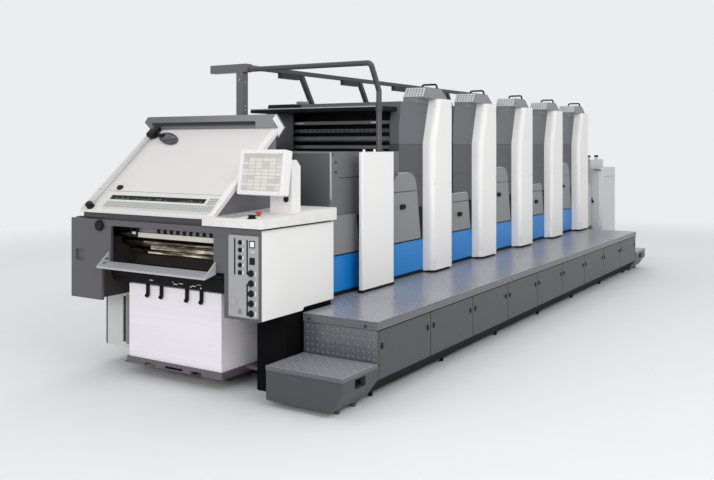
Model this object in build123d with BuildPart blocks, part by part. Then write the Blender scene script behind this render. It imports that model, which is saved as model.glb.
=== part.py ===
"""Five-colour sheet-fed offset printing press, from floor level up, in millimetres.

+X runs along the press from the delivery to the feeder, +Y from the operator's side to the drive side, +Z up.
The origin is on the floor, on the press centreline, under the middle of the centre printing unit.
"""

import os
from math import atan2, cos, radians, sin, tan

from build123d import *

# Sheet and delivery pile
SHEET_WIDTH = 788
SHEET_LENGTH = 600
PILE_SETBACK = 120
PILE_CLEARANCE = 33
PALLET_BOTTOM = 76
PALLET_THICKNESS = 43
PILE_HEIGHT = 473

# Printing units, along the press
UNIT_COUNT = 5
UNIT_PITCH = 940
TOWER_LENGTH = 325
BODY_BEFORE_CENTRE = 548
BODY_AFTER_CENTRE = 212

# Delivery, platform and feeder, along the press
CHAIN_BAY = 410
POST_LENGTH = 438
POST_SHORT = 20
STEP_SETBACK = 52
STEP_GOING = 365
FAR_STEP_GOING = 450
FEEDER_GAP = 40
FEEDER_LENGTH = 590

# Planes across the press, measured from the centreline
SIDE_PLANE = 645
BASE_DEPTH = 6
GUARD_DEPTH = 15
TOWER_DEPTH = 98
OPERATOR_COVER_PLANE = 782
DRIVE_COVER_PLANE = 817
PLATFORM_PLANE = 1310
FAR_STEP_PLANE = 830

# Heights, each above the one before or above the floor
DECK_LEVEL = 473
TREAD_LEVEL = 233
COVER_GAP = 14
LEG_HEIGHT = 500
FRAME_HEIGHT = 514
BED_HEIGHT = 1000
CHAIN_HEIGHT = 440
BODY_HEIGHT = 383
TOWER_RISE = 37

# Sheet metal, seams and running gaps
COVER_THICKNESS = 22
EDGE_ROUND = 8
SEAM = 6
SEAT_GAP = 0.3
PIN_GAP = 0.06

# Stations along the press
unit_centres = [(k - (UNIT_COUNT - 1) / 2) * UNIT_PITCH for k in range(UNIT_COUNT)]
tower_starts = [x - TOWER_LENGTH / 2 for x in unit_centres]
tower_ends = [x + TOWER_LENGTH / 2 for x in unit_centres]
x_first_body = unit_centres[0] - BODY_BEFORE_CENTRE
x_last_body = unit_centres[-1] + BODY_AFTER_CENTRE
x_post_end = tower_ends[0] - UNIT_PITCH - POST_SHORT
x_post = x_post_end - POST_LENGTH
x_cover_end = x_post - CHAIN_BAY
x_front = x_cover_end - PILE_CLEARANCE - SHEET_LENGTH - PILE_SETBACK
x_inside = x_front + COVER_THICKNESS
x_pile = x_front + PILE_SETBACK
x_step = x_front + STEP_SETBACK
x_deck = x_step + STEP_GOING
x_deck_end = tower_ends[-1]
x_far_step_end = x_deck_end + FAR_STEP_GOING
x_feeder = x_far_step_end + FEEDER_GAP
x_feeder_end = x_feeder + FEEDER_LENGTH

# Planes and levels
base_plane = SIDE_PLANE + BASE_DEPTH
guard_plane = SIDE_PLANE + GUARD_DEPTH
tower_plane = SIDE_PLANE + TOWER_DEPTH
operator_frame_plane = OPERATOR_COVER_PLANE - COVER_THICKNESS
drive_frame_plane = DRIVE_COVER_PLANE - COVER_THICKNESS
cover_bottom = DECK_LEVEL + COVER_GAP
console_level = LEG_HEIGHT + FRAME_HEIGHT
chain_level = BED_HEIGHT + CHAIN_HEIGHT
body_level = chain_level + BODY_HEIGHT
tower_level = body_level + TOWER_RISE
pile_bottom = PALLET_BOTTOM + PALLET_THICKNESS
pile_top = pile_bottom + PILE_HEIGHT

os.makedirs("parts", exist_ok=True)


def block(x_range, y_range, z_range, mode=Mode.ADD):
    """Adds a box between two corners to the part being built, or cuts it out."""
    size = [high - low for low, high in (x_range, y_range, z_range)]
    with Locations((x_range[0], y_range[0], z_range[0])):
        Box(*size, align=(Align.MIN, Align.MIN, Align.MIN), mode=mode)


def side_profile(points, y_range, mode=Mode.ADD):
    """Extrudes an outline drawn in X and Z across the press, from one Y to another."""
    with BuildSketch(Plane.XZ.offset(-y_range[0])) as outline:
        with BuildLine():
            Polyline(*points, close=True)
        make_face()
    extrude(outline.sketch, amount=-(y_range[1] - y_range[0]), mode=mode)


def end_profile(points, x_range, mode=Mode.ADD):
    """Extrudes an outline drawn in Y and Z along the press, from one X to another."""
    with BuildSketch(Plane.YZ.offset(x_range[0])) as outline:
        with BuildLine():
            Polyline(*points, close=True)
        make_face()
    extrude(outline.sketch, amount=x_range[1] - x_range[0], mode=mode)


def cross_rod(x, z, y_range, radius, mode=Mode.ADD):
    """Adds a round rod that runs across the press, or bores a hole that way."""
    with BuildSketch(Plane.XZ.offset(-y_range[0])) as section:
        with Locations((x, z)):
            Circle(radius)
    extrude(section.sketch, amount=-(y_range[1] - y_range[0]), mode=mode)


def save(builder, name):
    """Labels a finished piece and writes its file."""
    builder.part.label = name
    export_step(builder.part, f"parts/{name}.step")


# Press bed: the closed base that carries the chain housing and the units
with BuildPart() as bed:
    block((x_cover_end, x_feeder), (-SIDE_PLANE, SIDE_PLANE), (0, BED_HEIGHT))
    chamfer(bed.edges().filter_by(Axis.Z), EDGE_ROUND)
save(bed, "press_bed")

# Platform along the operator's side: deck and step treads of checker plate
DECK_THICKNESS = 50
TREAD_THICKNESS = 25
PANEL_THICKNESS = 20
PANEL_INSET = 6
PANEL_COUNT = 9
PANEL_BOTTOM = 136
TOE_DEPTH = 75
TOE_BOTTOM = 35
FOOT_RADIUS = 14
FOOT_INSET = 100
FOOT_COUNT = 7
GRIP_LENGTH = 110
GRIP_HEIGHT = 52
GRIP_DEPTH = 30
GRIP_DROP = 12

deck_under = DECK_LEVEL - DECK_THICKNESS
tread_under = TREAD_LEVEL - TREAD_THICKNESS
panel_face = PLATFORM_PLANE - PANEL_INSET
panel_plane = panel_face - PANEL_THICKNESS

with BuildPart() as decks:
    block((x_deck, x_cover_end), (-PLATFORM_PLANE, -OPERATOR_COVER_PLANE), (deck_under, DECK_LEVEL))
    block((x_cover_end, x_deck_end), (-PLATFORM_PLANE, -SIDE_PLANE), (deck_under, DECK_LEVEL))
    block((x_step, x_deck), (-PLATFORM_PLANE, -OPERATOR_COVER_PLANE), (tread_under, TREAD_LEVEL))
    block((x_deck_end, x_far_step_end), (-PLATFORM_PLANE, -FAR_STEP_PLANE), (tread_under, TREAD_LEVEL))
save(decks, "platform_decks")


def toe_outline(outer_plane, inner_plane, top):
    """Outline of a platform box: a straight side with a sloped toe recess at the floor."""
    return [
        (-outer_plane, top),
        (-outer_plane, PANEL_BOTTOM),
        (-outer_plane + TOE_DEPTH, TOE_BOTTOM),
        (-inner_plane, TOE_BOTTOM),
        (-inner_plane, top),
    ]


def levelling_feet(x_places, y_places):
    """Adds hexagonal levelling feet from the floor up to a platform box."""
    with BuildSketch(Plane.XY) as feet:
        with Locations(*[(x, y) for x in x_places for y in y_places]):
            RegularPolygon(FOOT_RADIUS, 6)
    extrude(feet.sketch, amount=TOE_BOTTOM)


with BuildPart() as plinth:
    plinth_start = x_deck + PANEL_INSET + PANEL_THICKNESS
    plinth_end = x_deck_end - PANEL_INSET - PANEL_THICKNESS
    end_profile(toe_outline(panel_plane, OPERATOR_COVER_PLANE, deck_under), (plinth_start, x_cover_end))
    end_profile(toe_outline(panel_plane, SIDE_PLANE, deck_under), (x_cover_end, plinth_end))
    foot_pitch = (plinth_end - plinth_start - 2 * FOOT_INSET) / (FOOT_COUNT - 1)
    levelling_feet(
        [plinth_start + FOOT_INSET + i * foot_pitch for i in range(FOOT_COUNT)],
        [-panel_plane + FOOT_INSET, -OPERATOR_COVER_PLANE - FOOT_INSET],
    )
save(plinth, "platform_plinth")

with BuildPart() as panels:
    panel_span = (PANEL_BOTTOM, deck_under)
    panel_pitch = (plinth_end - plinth_start) / PANEL_COUNT
    for i in range(PANEL_COUNT):
        panel_start = plinth_start + i * panel_pitch + SEAM / 2
        block((panel_start, panel_start + panel_pitch - SEAM), (-panel_face, -panel_plane), panel_span)
    near_end = (plinth_start - PANEL_THICKNESS, plinth_start)
    far_end = (plinth_end, plinth_end + PANEL_THICKNESS)
    block(near_end, (-panel_face, -OPERATOR_COVER_PLANE), panel_span)
    block(far_end, (-panel_face, -SIDE_PLANE), panel_span)
save(panels, "platform_panels")

with BuildPart() as steps:
    for start, end, inner in (
        (x_step + PANEL_INSET, plinth_start - PANEL_THICKNESS, OPERATOR_COVER_PLANE),
        (plinth_end + PANEL_THICKNESS, x_far_step_end - PANEL_INSET, FAR_STEP_PLANE),
    ):
        end_profile(toe_outline(panel_face, inner, tread_under), (start, end))
        grip_start = (start + end - GRIP_LENGTH) / 2
        grip_top = tread_under - GRIP_DROP
        block(
            (grip_start, grip_start + GRIP_LENGTH),
            (-panel_face, -panel_face + GRIP_DEPTH),
            (grip_top - GRIP_HEIGHT, grip_top),
            Mode.SUBTRACT,
        )
        feet_along = [start + FOOT_INSET, end - FOOT_INSET]
        feet_across = [-panel_face + FOOT_INSET, -inner - FOOT_INSET]
        levelling_feet(feet_along, feet_across)
save(steps, "platform_steps")

# Delivery side frames: a box over a leg, with the pile bay between them
LEG_SETBACK = 277
LEG_INNER_PLANE = 540
LEG_LIFT = 118
LEG_FOOT_SETBACK = 325
BAY_HALF_WIDTH = 520
x_leg = x_front + LEG_SETBACK


def delivery_frame(outer_plane, side):
    """One delivery side frame, on the operator's side (-1) or the drive side (+1)."""
    upper = sorted((side * outer_plane, side * BAY_HALF_WIDTH))
    lower = sorted((side * outer_plane, side * LEG_INNER_PLANE))
    block((x_inside, x_cover_end), upper, (LEG_HEIGHT, console_level))
    block((x_leg, x_cover_end), lower, (0, LEG_HEIGHT))


with BuildPart() as operator_frame:
    delivery_frame(operator_frame_plane, -1)
save(operator_frame, "delivery_frame_operator")

with BuildPart() as drive_frame:
    delivery_frame(drive_frame_plane, 1)
    lifted_toe = (x_leg, x_leg + LEG_FOOT_SETBACK)
    block(lifted_toe, (LEG_INNER_PLANE, drive_frame_plane), (0, LEG_LIFT), Mode.SUBTRACT)
save(drive_frame, "delivery_frame_drive")

# Light cover on the drive-side leg, with the slot that the pile lift runs in
LEG_COVER_WIDTH = 215
LEG_COVER_INSET = 12
LEG_COVER_THICKNESS = 12
LEG_SLOT_WIDTH = 32
LEG_SLOT_PLACE = 34
LEG_SLOT_END = 36
with BuildPart() as leg_cover:
    leg_cover_span = (x_leg - LEG_COVER_THICKNESS, x_leg)
    leg_cover_edge = LEG_INNER_PLANE + LEG_COVER_INSET
    block(leg_cover_span, (leg_cover_edge, leg_cover_edge + LEG_COVER_WIDTH), (LEG_LIFT, LEG_HEIGHT))
    slot_edge = leg_cover_edge + LEG_SLOT_PLACE
    slot_sides = (slot_edge, slot_edge + LEG_SLOT_WIDTH)
    slot_levels = (LEG_LIFT + LEG_SLOT_END, LEG_HEIGHT - LEG_SLOT_END)
    block(leg_cover_span, slot_sides, slot_levels, Mode.SUBTRACT)
save(leg_cover, "leg_cover")

# Grey front panel: two columns and a head band round the delivery mouth
FRONT_LAP = 16
CONSOLE_SHADOW = 6
MOUTH_HALF_WIDTH = 437
MOUTH_HEAD = 38
MOUTH_HEIGHT = 228
MOUTH_ROUND = 18
PULL_WIDTH = 85
PULL_HEIGHT = 72
PULL_DEPTH = 14
PULL_INSET = 47
PULL_DROP = 15
front_bottom = LEG_HEIGHT - FRONT_LAP
front_top = console_level - CONSOLE_SHADOW
mouth_top = front_top - MOUTH_HEAD
mouth_bottom = mouth_top - MOUTH_HEIGHT
with BuildPart() as front_panel:
    front_span = (x_front, x_inside)
    mouth_sides = (-MOUTH_HALF_WIDTH, MOUTH_HALF_WIDTH)
    block(front_span, (-OPERATOR_COVER_PLANE, DRIVE_COVER_PLANE), (front_bottom, front_top))
    block(front_span, mouth_sides, (mouth_bottom, mouth_top), Mode.SUBTRACT)
    mouth_corners = front_panel.edges().filter_by(Axis.X).filter_by_position(Axis.Y, *mouth_sides)
    fillet(mouth_corners.group_by(Axis.Z)[-1], MOUTH_ROUND)
    block(front_span, (-BAY_HALF_WIDTH, BAY_HALF_WIDTH), (front_bottom, mouth_bottom), Mode.SUBTRACT)
    pull_edge = DRIVE_COVER_PLANE - PULL_INSET
    pull_bottom = (front_bottom + front_top) / 2 - PULL_DROP
    block(
        (x_front, x_front + PULL_DEPTH),
        (pull_edge - PULL_WIDTH, pull_edge),
        (pull_bottom, pull_bottom + PULL_HEIGHT),
        Mode.SUBTRACT,
    )
save(front_panel, "delivery_front_panel")

# White side covers of the delivery; the operator's one is cut away over the platform
COVER_NOTCH = 16
cover_top = console_level - COVER_GAP
with BuildPart() as delivery_covers:
    notch_level = max(front_bottom, cover_bottom) + COVER_NOTCH
    side_profile(
        [
            (x_inside, front_bottom),
            (x_deck, front_bottom),
            (x_deck + COVER_NOTCH, notch_level),
            (x_cover_end, notch_level),
            (x_cover_end, cover_top),
            (x_inside, cover_top),
        ],
        (-OPERATOR_COVER_PLANE, -operator_frame_plane),
    )
    block((x_inside, x_cover_end), (drive_frame_plane, DRIVE_COVER_PLANE), (front_bottom, cover_top))
save(delivery_covers, "delivery_side_covers")

# Shelf below the delivery mouth, with a gusset at each end
SHELF_REACH = 98
SHELF_DROP = 20
SHELF_THICKNESS = 12
GUSSET_THICKNESS = 10
GUSSET_HEIGHT = 62
shelf_half_width = MOUTH_HALF_WIDTH + 2 * GUSSET_THICKNESS
with BuildPart() as shelf:
    shelf_under = mouth_bottom - SHELF_THICKNESS
    x_shelf = x_front - SHELF_REACH
    side_profile(
        [
            (x_front, shelf_under),
            (x_front, mouth_bottom),
            (x_shelf, mouth_bottom - SHELF_DROP),
            (x_shelf, shelf_under - SHELF_DROP),
        ],
        (-shelf_half_width, shelf_half_width),
    )
    for y in (-shelf_half_width, shelf_half_width - GUSSET_THICKNESS):
        side_profile(
            [
                (x_front, mouth_bottom),
                (x_front, mouth_bottom + GUSSET_HEIGHT),
                (x_shelf, mouth_bottom - SHELF_DROP),
            ],
            (y, y + GUSSET_THICKNESS),
        )
save(shelf, "delivery_shelf")

# Gripper shafts that show in the delivery mouth
SHAFT_RADIUS = 24
SHAFT_SETBACK = 115
SHAFT_PITCH = 72
SHAFT_RISE = 48
SHAFT_STEP = 62
SHAFT_COUNT = 3
with BuildPart() as shafts:
    for i in range(SHAFT_COUNT):
        x_shaft = x_front + SHAFT_SETBACK + i * SHAFT_PITCH
        z_shaft = mouth_bottom + SHAFT_RISE + (SHAFT_COUNT - 1 - i) * SHAFT_STEP
        cross_rod(x_shaft, z_shaft, (-BAY_HALF_WIDTH, BAY_HALF_WIDTH), SHAFT_RADIUS)
save(shafts, "gripper_shafts")

# Stop bar with hooked fingers that square the front edge of the pile
STOP_BAR_DEPTH = 34
STOP_BAR_HEIGHT = 46
STOP_BAR_DROP = 102
FINGER_PITCH = 120
FINGER_PAIR_PITCH = 338
FINGER_OFFSET = 15
FINGER_WIDTH = 20
FINGER_DEPTH = 14
FINGER_LENGTH = 125
FINGER_GAP = 6
with BuildPart() as stops:
    bar_back = x_pile - FINGER_GAP
    bar_bottom = mouth_bottom - STOP_BAR_DROP
    block(
        (bar_back - STOP_BAR_DEPTH, bar_back),
        (-BAY_HALF_WIDTH, BAY_HALF_WIDTH),
        (bar_bottom, bar_bottom + STOP_BAR_HEIGHT),
    )
    finger_foot = bar_bottom - FINGER_LENGTH
    for pair, place in ((-1, -1), (-1, 1), (1, -1), (1, 1)):
        y = pair * FINGER_PAIR_PITCH / 2 + place * FINGER_PITCH / 2 - FINGER_OFFSET
        side_profile(
            [
                (bar_back, bar_bottom),
                (bar_back, finger_foot + FINGER_DEPTH),
                (bar_back - FINGER_DEPTH, finger_foot),
                (bar_back - 2 * FINGER_DEPTH, finger_foot + FINGER_DEPTH),
                (bar_back - FINGER_DEPTH, finger_foot + 2 * FINGER_DEPTH),
                (bar_back - FINGER_DEPTH, bar_bottom),
            ],
            (y - FINGER_WIDTH / 2, y + FINGER_WIDTH / 2),
        )
save(stops, "sheet_stops")

# Delivery pile on its lift board, which runs between the legs on two cross bars
PALLET_MARGIN = 12
BAR_WIDTH = 60
BAR_INSET = 60
CHANNEL_WIDTH = 90
with BuildPart() as pile:
    block((x_pile, x_pile + SHEET_LENGTH), (-SHEET_WIDTH / 2, SHEET_WIDTH / 2), (pile_bottom, pile_top))
save(pile, "delivery_pile")

with BuildPart() as pallet:
    pallet_half_width = SHEET_WIDTH / 2 + PALLET_MARGIN
    pallet_span = (x_pile - PALLET_MARGIN, x_pile + SHEET_LENGTH)
    pallet_middle = pile_bottom - PALLET_THICKNESS / 2
    block(pallet_span, (-pallet_half_width, pallet_half_width), (PALLET_BOTTOM, pile_bottom))
    for y in (-SHEET_WIDTH / 4, SHEET_WIDTH / 4):
        channel_sides = (y - CHANNEL_WIDTH / 2, y + CHANNEL_WIDTH / 2)
        block(pallet_span, channel_sides, (PALLET_BOTTOM, pallet_middle), Mode.SUBTRACT)
    bar_reach = LEG_INNER_PLANE - SEAT_GAP
    for x_bar in (x_leg + BAR_INSET, x_pile + SHEET_LENGTH - BAR_INSET - BAR_WIDTH):
        block((x_bar, x_bar + BAR_WIDTH), (-bar_reach, bar_reach), (pallet_middle, pile_bottom))
save(pallet, "pile_board")

# White console top along the operator's side of the delivery
CONSOLE_THICKNESS = 36
CONSOLE_OVERHANG = 18
CONSOLE_SIDE_OVERHANG = 28
CONSOLE_INNER_EDGE = 357
CONSOLE_ROUND = 10
console_top_level = console_level + CONSOLE_THICKNESS
with BuildPart() as console:
    block(
        (x_front - CONSOLE_OVERHANG, x_cover_end),
        (-OPERATOR_COVER_PLANE - CONSOLE_SIDE_OVERHANG, -CONSOLE_INNER_EDGE),
        (console_level, console_top_level),
    )
    fillet(console.edges().filter_by(Axis.Z), CONSOLE_ROUND)
save(console, "console_top")

# Sloped light desk: a white board on a grey wedge
DESK_OPERATOR_EDGE = 435
DESK_DRIVE_EDGE = 720
DESK_OVERHANG = 8
DESK_RUN = 635
DESK_LIP = 18
DESK_RISE = 532
DESK_THICKNESS = 30
DESK_BODY_INSET = 20
ROOF_THICKNESS = 25
x_desk = x_front - DESK_OVERHANG
x_desk_top = x_desk + DESK_RUN
desk_lip_level = console_top_level + DESK_LIP
desk_top_level = desk_lip_level + DESK_RISE
desk_angle = atan2(DESK_RISE, DESK_RUN)
desk_under_level = desk_top_level - DESK_THICKNESS / cos(desk_angle)
x_desk_toe = x_desk_top - (desk_under_level - console_top_level) / tan(desk_angle)
desk_up = (cos(desk_angle), 0, sin(desk_angle))
desk_out = (-sin(desk_angle), 0, cos(desk_angle))
desk_plane = Plane(origin=(x_desk, 0, desk_lip_level), x_dir=desk_up, z_dir=desk_out)
desk_length = DESK_RUN / cos(desk_angle)

with BuildPart() as desk:
    side_profile(
        [
            (x_desk, console_top_level),
            (x_desk, desk_lip_level),
            (x_desk_top, desk_top_level),
            (x_desk_top, desk_under_level),
            (x_desk_toe, console_top_level),
        ],
        (-DESK_OPERATOR_EDGE, DESK_DRIVE_EDGE),
    )
save(desk, "light_desk")

# Delivery roof, with the grey base and wedge that carry the desk board
with BuildPart() as roof:
    roof_span = (x_inside, x_cover_end)
    block(roof_span, (-BAY_HALF_WIDTH, BAY_HALF_WIDTH), (console_level - ROOF_THICKNESS, console_level))
    block(roof_span, (-CONSOLE_INNER_EDGE, DESK_DRIVE_EDGE), (console_level, console_top_level))
    side_profile(
        [(x_desk_toe, console_top_level), (x_desk_top, desk_under_level), (x_desk_top, console_top_level)],
        (-DESK_OPERATOR_EDGE + DESK_BODY_INSET, DESK_DRIVE_EDGE - DESK_BODY_INSET),
    )
save(roof, "delivery_roof")

# Lamp hood along the top of the desk, with pointed ends and a flange down the desk's back
HOOD_RISE = 90
HOOD_REACH = 8
HOOD_BACK = 92
HOOD_OPERATOR_POINT = 52
HOOD_OPERATOR_DROP = 62
HOOD_OPERATOR_INSET = 14
HOOD_DRIVE_POINT = 60
HOOD_DRIVE_RISE = 52
HOOD_DRIVE_OUT = 26
HOOD_FLANGE = 38
with BuildPart() as desk_hood:
    hood_top = desk_top_level + HOOD_RISE
    end_profile(
        [
            (-DESK_OPERATOR_EDGE, desk_top_level),
            (-DESK_OPERATOR_EDGE, desk_top_level - HOOD_OPERATOR_DROP),
            (-DESK_OPERATOR_EDGE - HOOD_OPERATOR_POINT, desk_top_level),
            (-DESK_OPERATOR_EDGE + HOOD_OPERATOR_INSET, hood_top),
            (DESK_DRIVE_EDGE + HOOD_DRIVE_OUT, hood_top),
            (DESK_DRIVE_EDGE + HOOD_DRIVE_POINT, desk_top_level + HOOD_DRIVE_RISE),
            (DESK_DRIVE_EDGE, desk_top_level),
        ],
        (x_desk_top - HOOD_REACH, x_desk_top + HOOD_BACK),
    )
    block(
        (x_desk_top, x_desk_top + HOOD_BACK),
        (-DESK_OPERATOR_EDGE, DESK_DRIVE_EDGE),
        (desk_top_level - HOOD_FLANGE, desk_top_level),
    )
save(desk_hood, "desk_hood")

# Ink-key strip across the lower edge of the desk, and the scanner on its rail up the drive side
STRIP_DEPTH = 122
STRIP_WIDTH = 930
STRIP_START = 22
STRIP_OFFSET = 55
STRIP_HEIGHT = 10
STRIP_ROUND = 8
RAIL_INSET = 88
RAIL_START = 36
RAIL_END_GAP = 36
RAIL_RADIUS = 9
RAIL_HEIGHT = 20
RAIL_BLOCK_LENGTH = 34
RAIL_BLOCK_WIDTH = 44
RAIL_BLOCK_HEIGHT = 34
SCANNER_LENGTH = 95
SCANNER_WIDTH = 230
SCANNER_HEIGHT = 58
SCANNER_ROUND = 24
SCANNER_STOP_GAP = 6
SCANNER_REACH = 75
rail_line = DESK_DRIVE_EDGE - RAIL_INSET
rail_length = desk_length - RAIL_END_GAP - RAIL_START
rail_foot = desk_plane.from_local_coords((RAIL_START, rail_line, RAIL_HEIGHT))
rail_plane = Plane(origin=rail_foot, z_dir=desk_up)
scanner_end = RAIL_START + rail_length - RAIL_BLOCK_LENGTH / 2 - SCANNER_STOP_GAP
with BuildPart() as key_strip:
    with BuildSketch(desk_plane):
        with Locations((STRIP_START + STRIP_DEPTH / 2, STRIP_OFFSET)):
            RectangleRounded(STRIP_DEPTH, STRIP_WIDTH, STRIP_ROUND)
    extrude(amount=STRIP_HEIGHT)
save(key_strip, "ink_key_strip")

with BuildPart() as rail:
    with BuildSketch(desk_plane):
        with Locations((RAIL_START, rail_line), (RAIL_START + rail_length, rail_line)):
            Rectangle(RAIL_BLOCK_LENGTH, RAIL_BLOCK_WIDTH)
    extrude(amount=RAIL_BLOCK_HEIGHT)
    with BuildSketch(rail_plane):
        Circle(RAIL_RADIUS)
    extrude(amount=rail_length)
save(rail, "scanner_rail")

with BuildPart() as scanner:
    with BuildSketch(desk_plane):
        with Locations((scanner_end - SCANNER_LENGTH / 2, rail_line - SCANNER_REACH)):
            RectangleRounded(SCANNER_LENGTH, SCANNER_WIDTH, SCANNER_ROUND)
    extrude(amount=SCANNER_HEIGHT)
    with BuildSketch(rail_plane):
        Circle(RAIL_RADIUS + SEAT_GAP)
    extrude(amount=rail_length, mode=Mode.SUBTRACT)
save(scanner, "scanner_head")

# Monitor on a pedestal: it tilts on a cross pin between two ears
MONITOR_WIDTH = 345
MONITOR_HEIGHT = 272
MONITOR_DEPTH = 58
MONITOR_ROUND = 10
MONITOR_TILT = 9
MONITOR_SETBACK = 205
MONITOR_RISE = 278
MONITOR_DESK_GAP = 24
MONITOR_ARM = 38
MONITOR_BEZEL = 22
SCREEN_DEPTH = 4
KNUCKLE_RADIUS = 17
KNUCKLE_WIDTH = 50
ARM_HEIGHT = 27
PIN_RADIUS = 8
EAR_WIDTH = 14
PEDESTAL_GAP = 44
PEDESTAL_DEPTH = 92
PEDESTAL_OUTER = 119
PEDESTAL_INNER = 43
PEDESTAL_ABOVE_PIN = 86
PEDESTAL_CUT = 40
KNOB_RADIUS = 20
KNOB_LENGTH = 26
screen_out = (-cos(radians(MONITOR_TILT)), 0, sin(radians(MONITOR_TILT)))
monitor_line = -DESK_OPERATOR_EDGE - MONITOR_DESK_GAP - MONITOR_WIDTH / 2
monitor_middle = (x_front + MONITOR_SETBACK, monitor_line, console_top_level + MONITOR_RISE)
screen_plane = Plane(origin=monitor_middle, x_dir=(0, -1, 0), z_dir=screen_out)
pin = screen_plane.from_local_coords((0, 0, -MONITOR_DEPTH - MONITOR_ARM))
x_pedestal = pin.X + PEDESTAL_GAP

with BuildPart() as monitor:
    with BuildSketch(screen_plane):
        RectangleRounded(MONITOR_WIDTH, MONITOR_HEIGHT, MONITOR_ROUND)
    extrude(amount=-MONITOR_DEPTH)
    with BuildSketch(screen_plane):
        Rectangle(MONITOR_WIDTH - 2 * MONITOR_BEZEL, MONITOR_HEIGHT - 2 * MONITOR_BEZEL)
    extrude(amount=-SCREEN_DEPTH, mode=Mode.SUBTRACT)
    with BuildSketch(screen_plane.offset(-MONITOR_DEPTH)):
        Rectangle(KNUCKLE_WIDTH, ARM_HEIGHT)
    extrude(amount=-MONITOR_ARM)
    knuckle_sides = (pin.Y - KNUCKLE_WIDTH / 2, pin.Y + KNUCKLE_WIDTH / 2)
    cross_rod(pin.X, pin.Z, knuckle_sides, KNUCKLE_RADIUS)
    cross_rod(pin.X, pin.Z, knuckle_sides, PIN_RADIUS + PIN_GAP, Mode.SUBTRACT)
save(monitor, "monitor")

with BuildPart() as pedestal:
    pedestal_top = pin.Z + PEDESTAL_ABOVE_PIN
    x_pedestal_back = x_pedestal + PEDESTAL_DEPTH
    side_profile(
        [
            (x_pedestal, console_top_level),
            (x_pedestal, pedestal_top),
            (x_pedestal_back - PEDESTAL_CUT, pedestal_top),
            (x_pedestal_back, pedestal_top - PEDESTAL_CUT),
            (x_pedestal_back, console_top_level),
        ],
        (pin.Y - PEDESTAL_OUTER, pin.Y + PEDESTAL_INNER),
    )
    ear_inner = KNUCKLE_WIDTH / 2 + SEAT_GAP
    ear_outer = ear_inner + EAR_WIDTH
    for low, high in ((-ear_outer, -ear_inner), (ear_inner, ear_outer)):
        ear_sides = (pin.Y + low, pin.Y + high)
        cross_rod(pin.X, pin.Z, ear_sides, KNUCKLE_RADIUS)
        block((pin.X, x_pedestal), ear_sides, (pin.Z - KNUCKLE_RADIUS, pin.Z + KNUCKLE_RADIUS))
    cross_rod(pin.X, pin.Z, (pin.Y - ear_outer, pin.Y + ear_outer), PIN_RADIUS)
    cross_rod(pin.X, pin.Z, (pin.Y - ear_outer - KNOB_LENGTH, pin.Y - ear_outer), KNOB_RADIUS)
save(pedestal, "monitor_pedestal")
print("monitor pin", round(pin.X, 3), round(pin.Y, 3), round(pin.Z, 3))

# Control plate on the front panel, with its knobs and buttons
CONTROL_INSET = 6
CONTROL_WIDTH = 216
CONTROL_HEIGHT = 468
CONTROL_RISE = 20
CONTROL_THICKNESS = 8
SWITCH_COUNT = 5
SWITCH_PITCH = 57
SWITCH_FIRST = 28
SWITCH_INSET = 46
SWITCH_RADIUS = 17
SWITCH_LENGTH = 20
SWITCH_SIDES = 12
BUTTON_PITCH = 43
BUTTON_FIRST = 256
BUTTON_INSET = 88
BUTTON_RADIUS = 11
BUTTON_LENGTH = 9
control_edge = -OPERATOR_COVER_PLANE + CONTROL_INSET
control_bottom = front_bottom + CONTROL_RISE
with BuildPart() as control_panel:
    control_sides = (control_edge, control_edge + CONTROL_WIDTH)
    control_span = (control_bottom, control_bottom + CONTROL_HEIGHT)
    block((x_front - CONTROL_THICKNESS, x_front), control_sides, control_span)
    fillet(control_panel.edges().filter_by(Axis.X), EDGE_ROUND)
save(control_panel, "control_panel")

button_line = control_edge + CONTROL_WIDTH - BUTTON_INSET
with BuildPart() as knobs:
    for y, first, pitch, radius, length in (
        (control_edge + SWITCH_INSET, SWITCH_FIRST, SWITCH_PITCH, SWITCH_RADIUS, SWITCH_LENGTH),
        (button_line, BUTTON_FIRST, BUTTON_PITCH, BUTTON_RADIUS, BUTTON_LENGTH),
    ):
        with BuildSketch(Plane.YZ.offset(x_front - CONTROL_THICKNESS)) as row:
            with Locations(*[(y, control_bottom + first + i * pitch) for i in range(SWITCH_COUNT)]):
                RegularPolygon(radius, SWITCH_SIDES)
        extrude(row.sketch, amount=-length)
save(knobs, "control_knobs")

# Chain housing between the delivery and the first unit, with a white cover on each side
CHAIN_SETBACK = 167
POST_THICKNESS = 25
POST_CORE_SETBACK = 160
POST_CORE_INSET = 20
with BuildPart() as chain_housing:
    x_chain = x_cover_end + CHAIN_SETBACK
    block((x_chain, x_first_body), (-SIDE_PLANE, SIDE_PLANE), (BED_HEIGHT, chain_level))
    chamfer(chain_housing.faces().sort_by(Axis.X)[0].edges(), EDGE_ROUND)
save(chain_housing, "chain_housing")

x_post_core = x_post + POST_CORE_SETBACK
with BuildPart() as post_covers:
    post_face = (-tower_plane, -tower_plane + POST_THICKNESS)
    block((x_post, x_post_end), post_face, (cover_bottom, chain_level))
    fillet(post_covers.edges().filter_by(Axis.Z).group_by(Axis.Y)[0], EDGE_ROUND)
    core_span = (x_post_core, x_post_end - POST_CORE_INSET)
    block(core_span, (-tower_plane + POST_THICKNESS, -SIDE_PLANE), (cover_bottom, chain_level))
    mirror(about=Plane.XZ)
save(post_covers, "post_covers")

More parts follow.
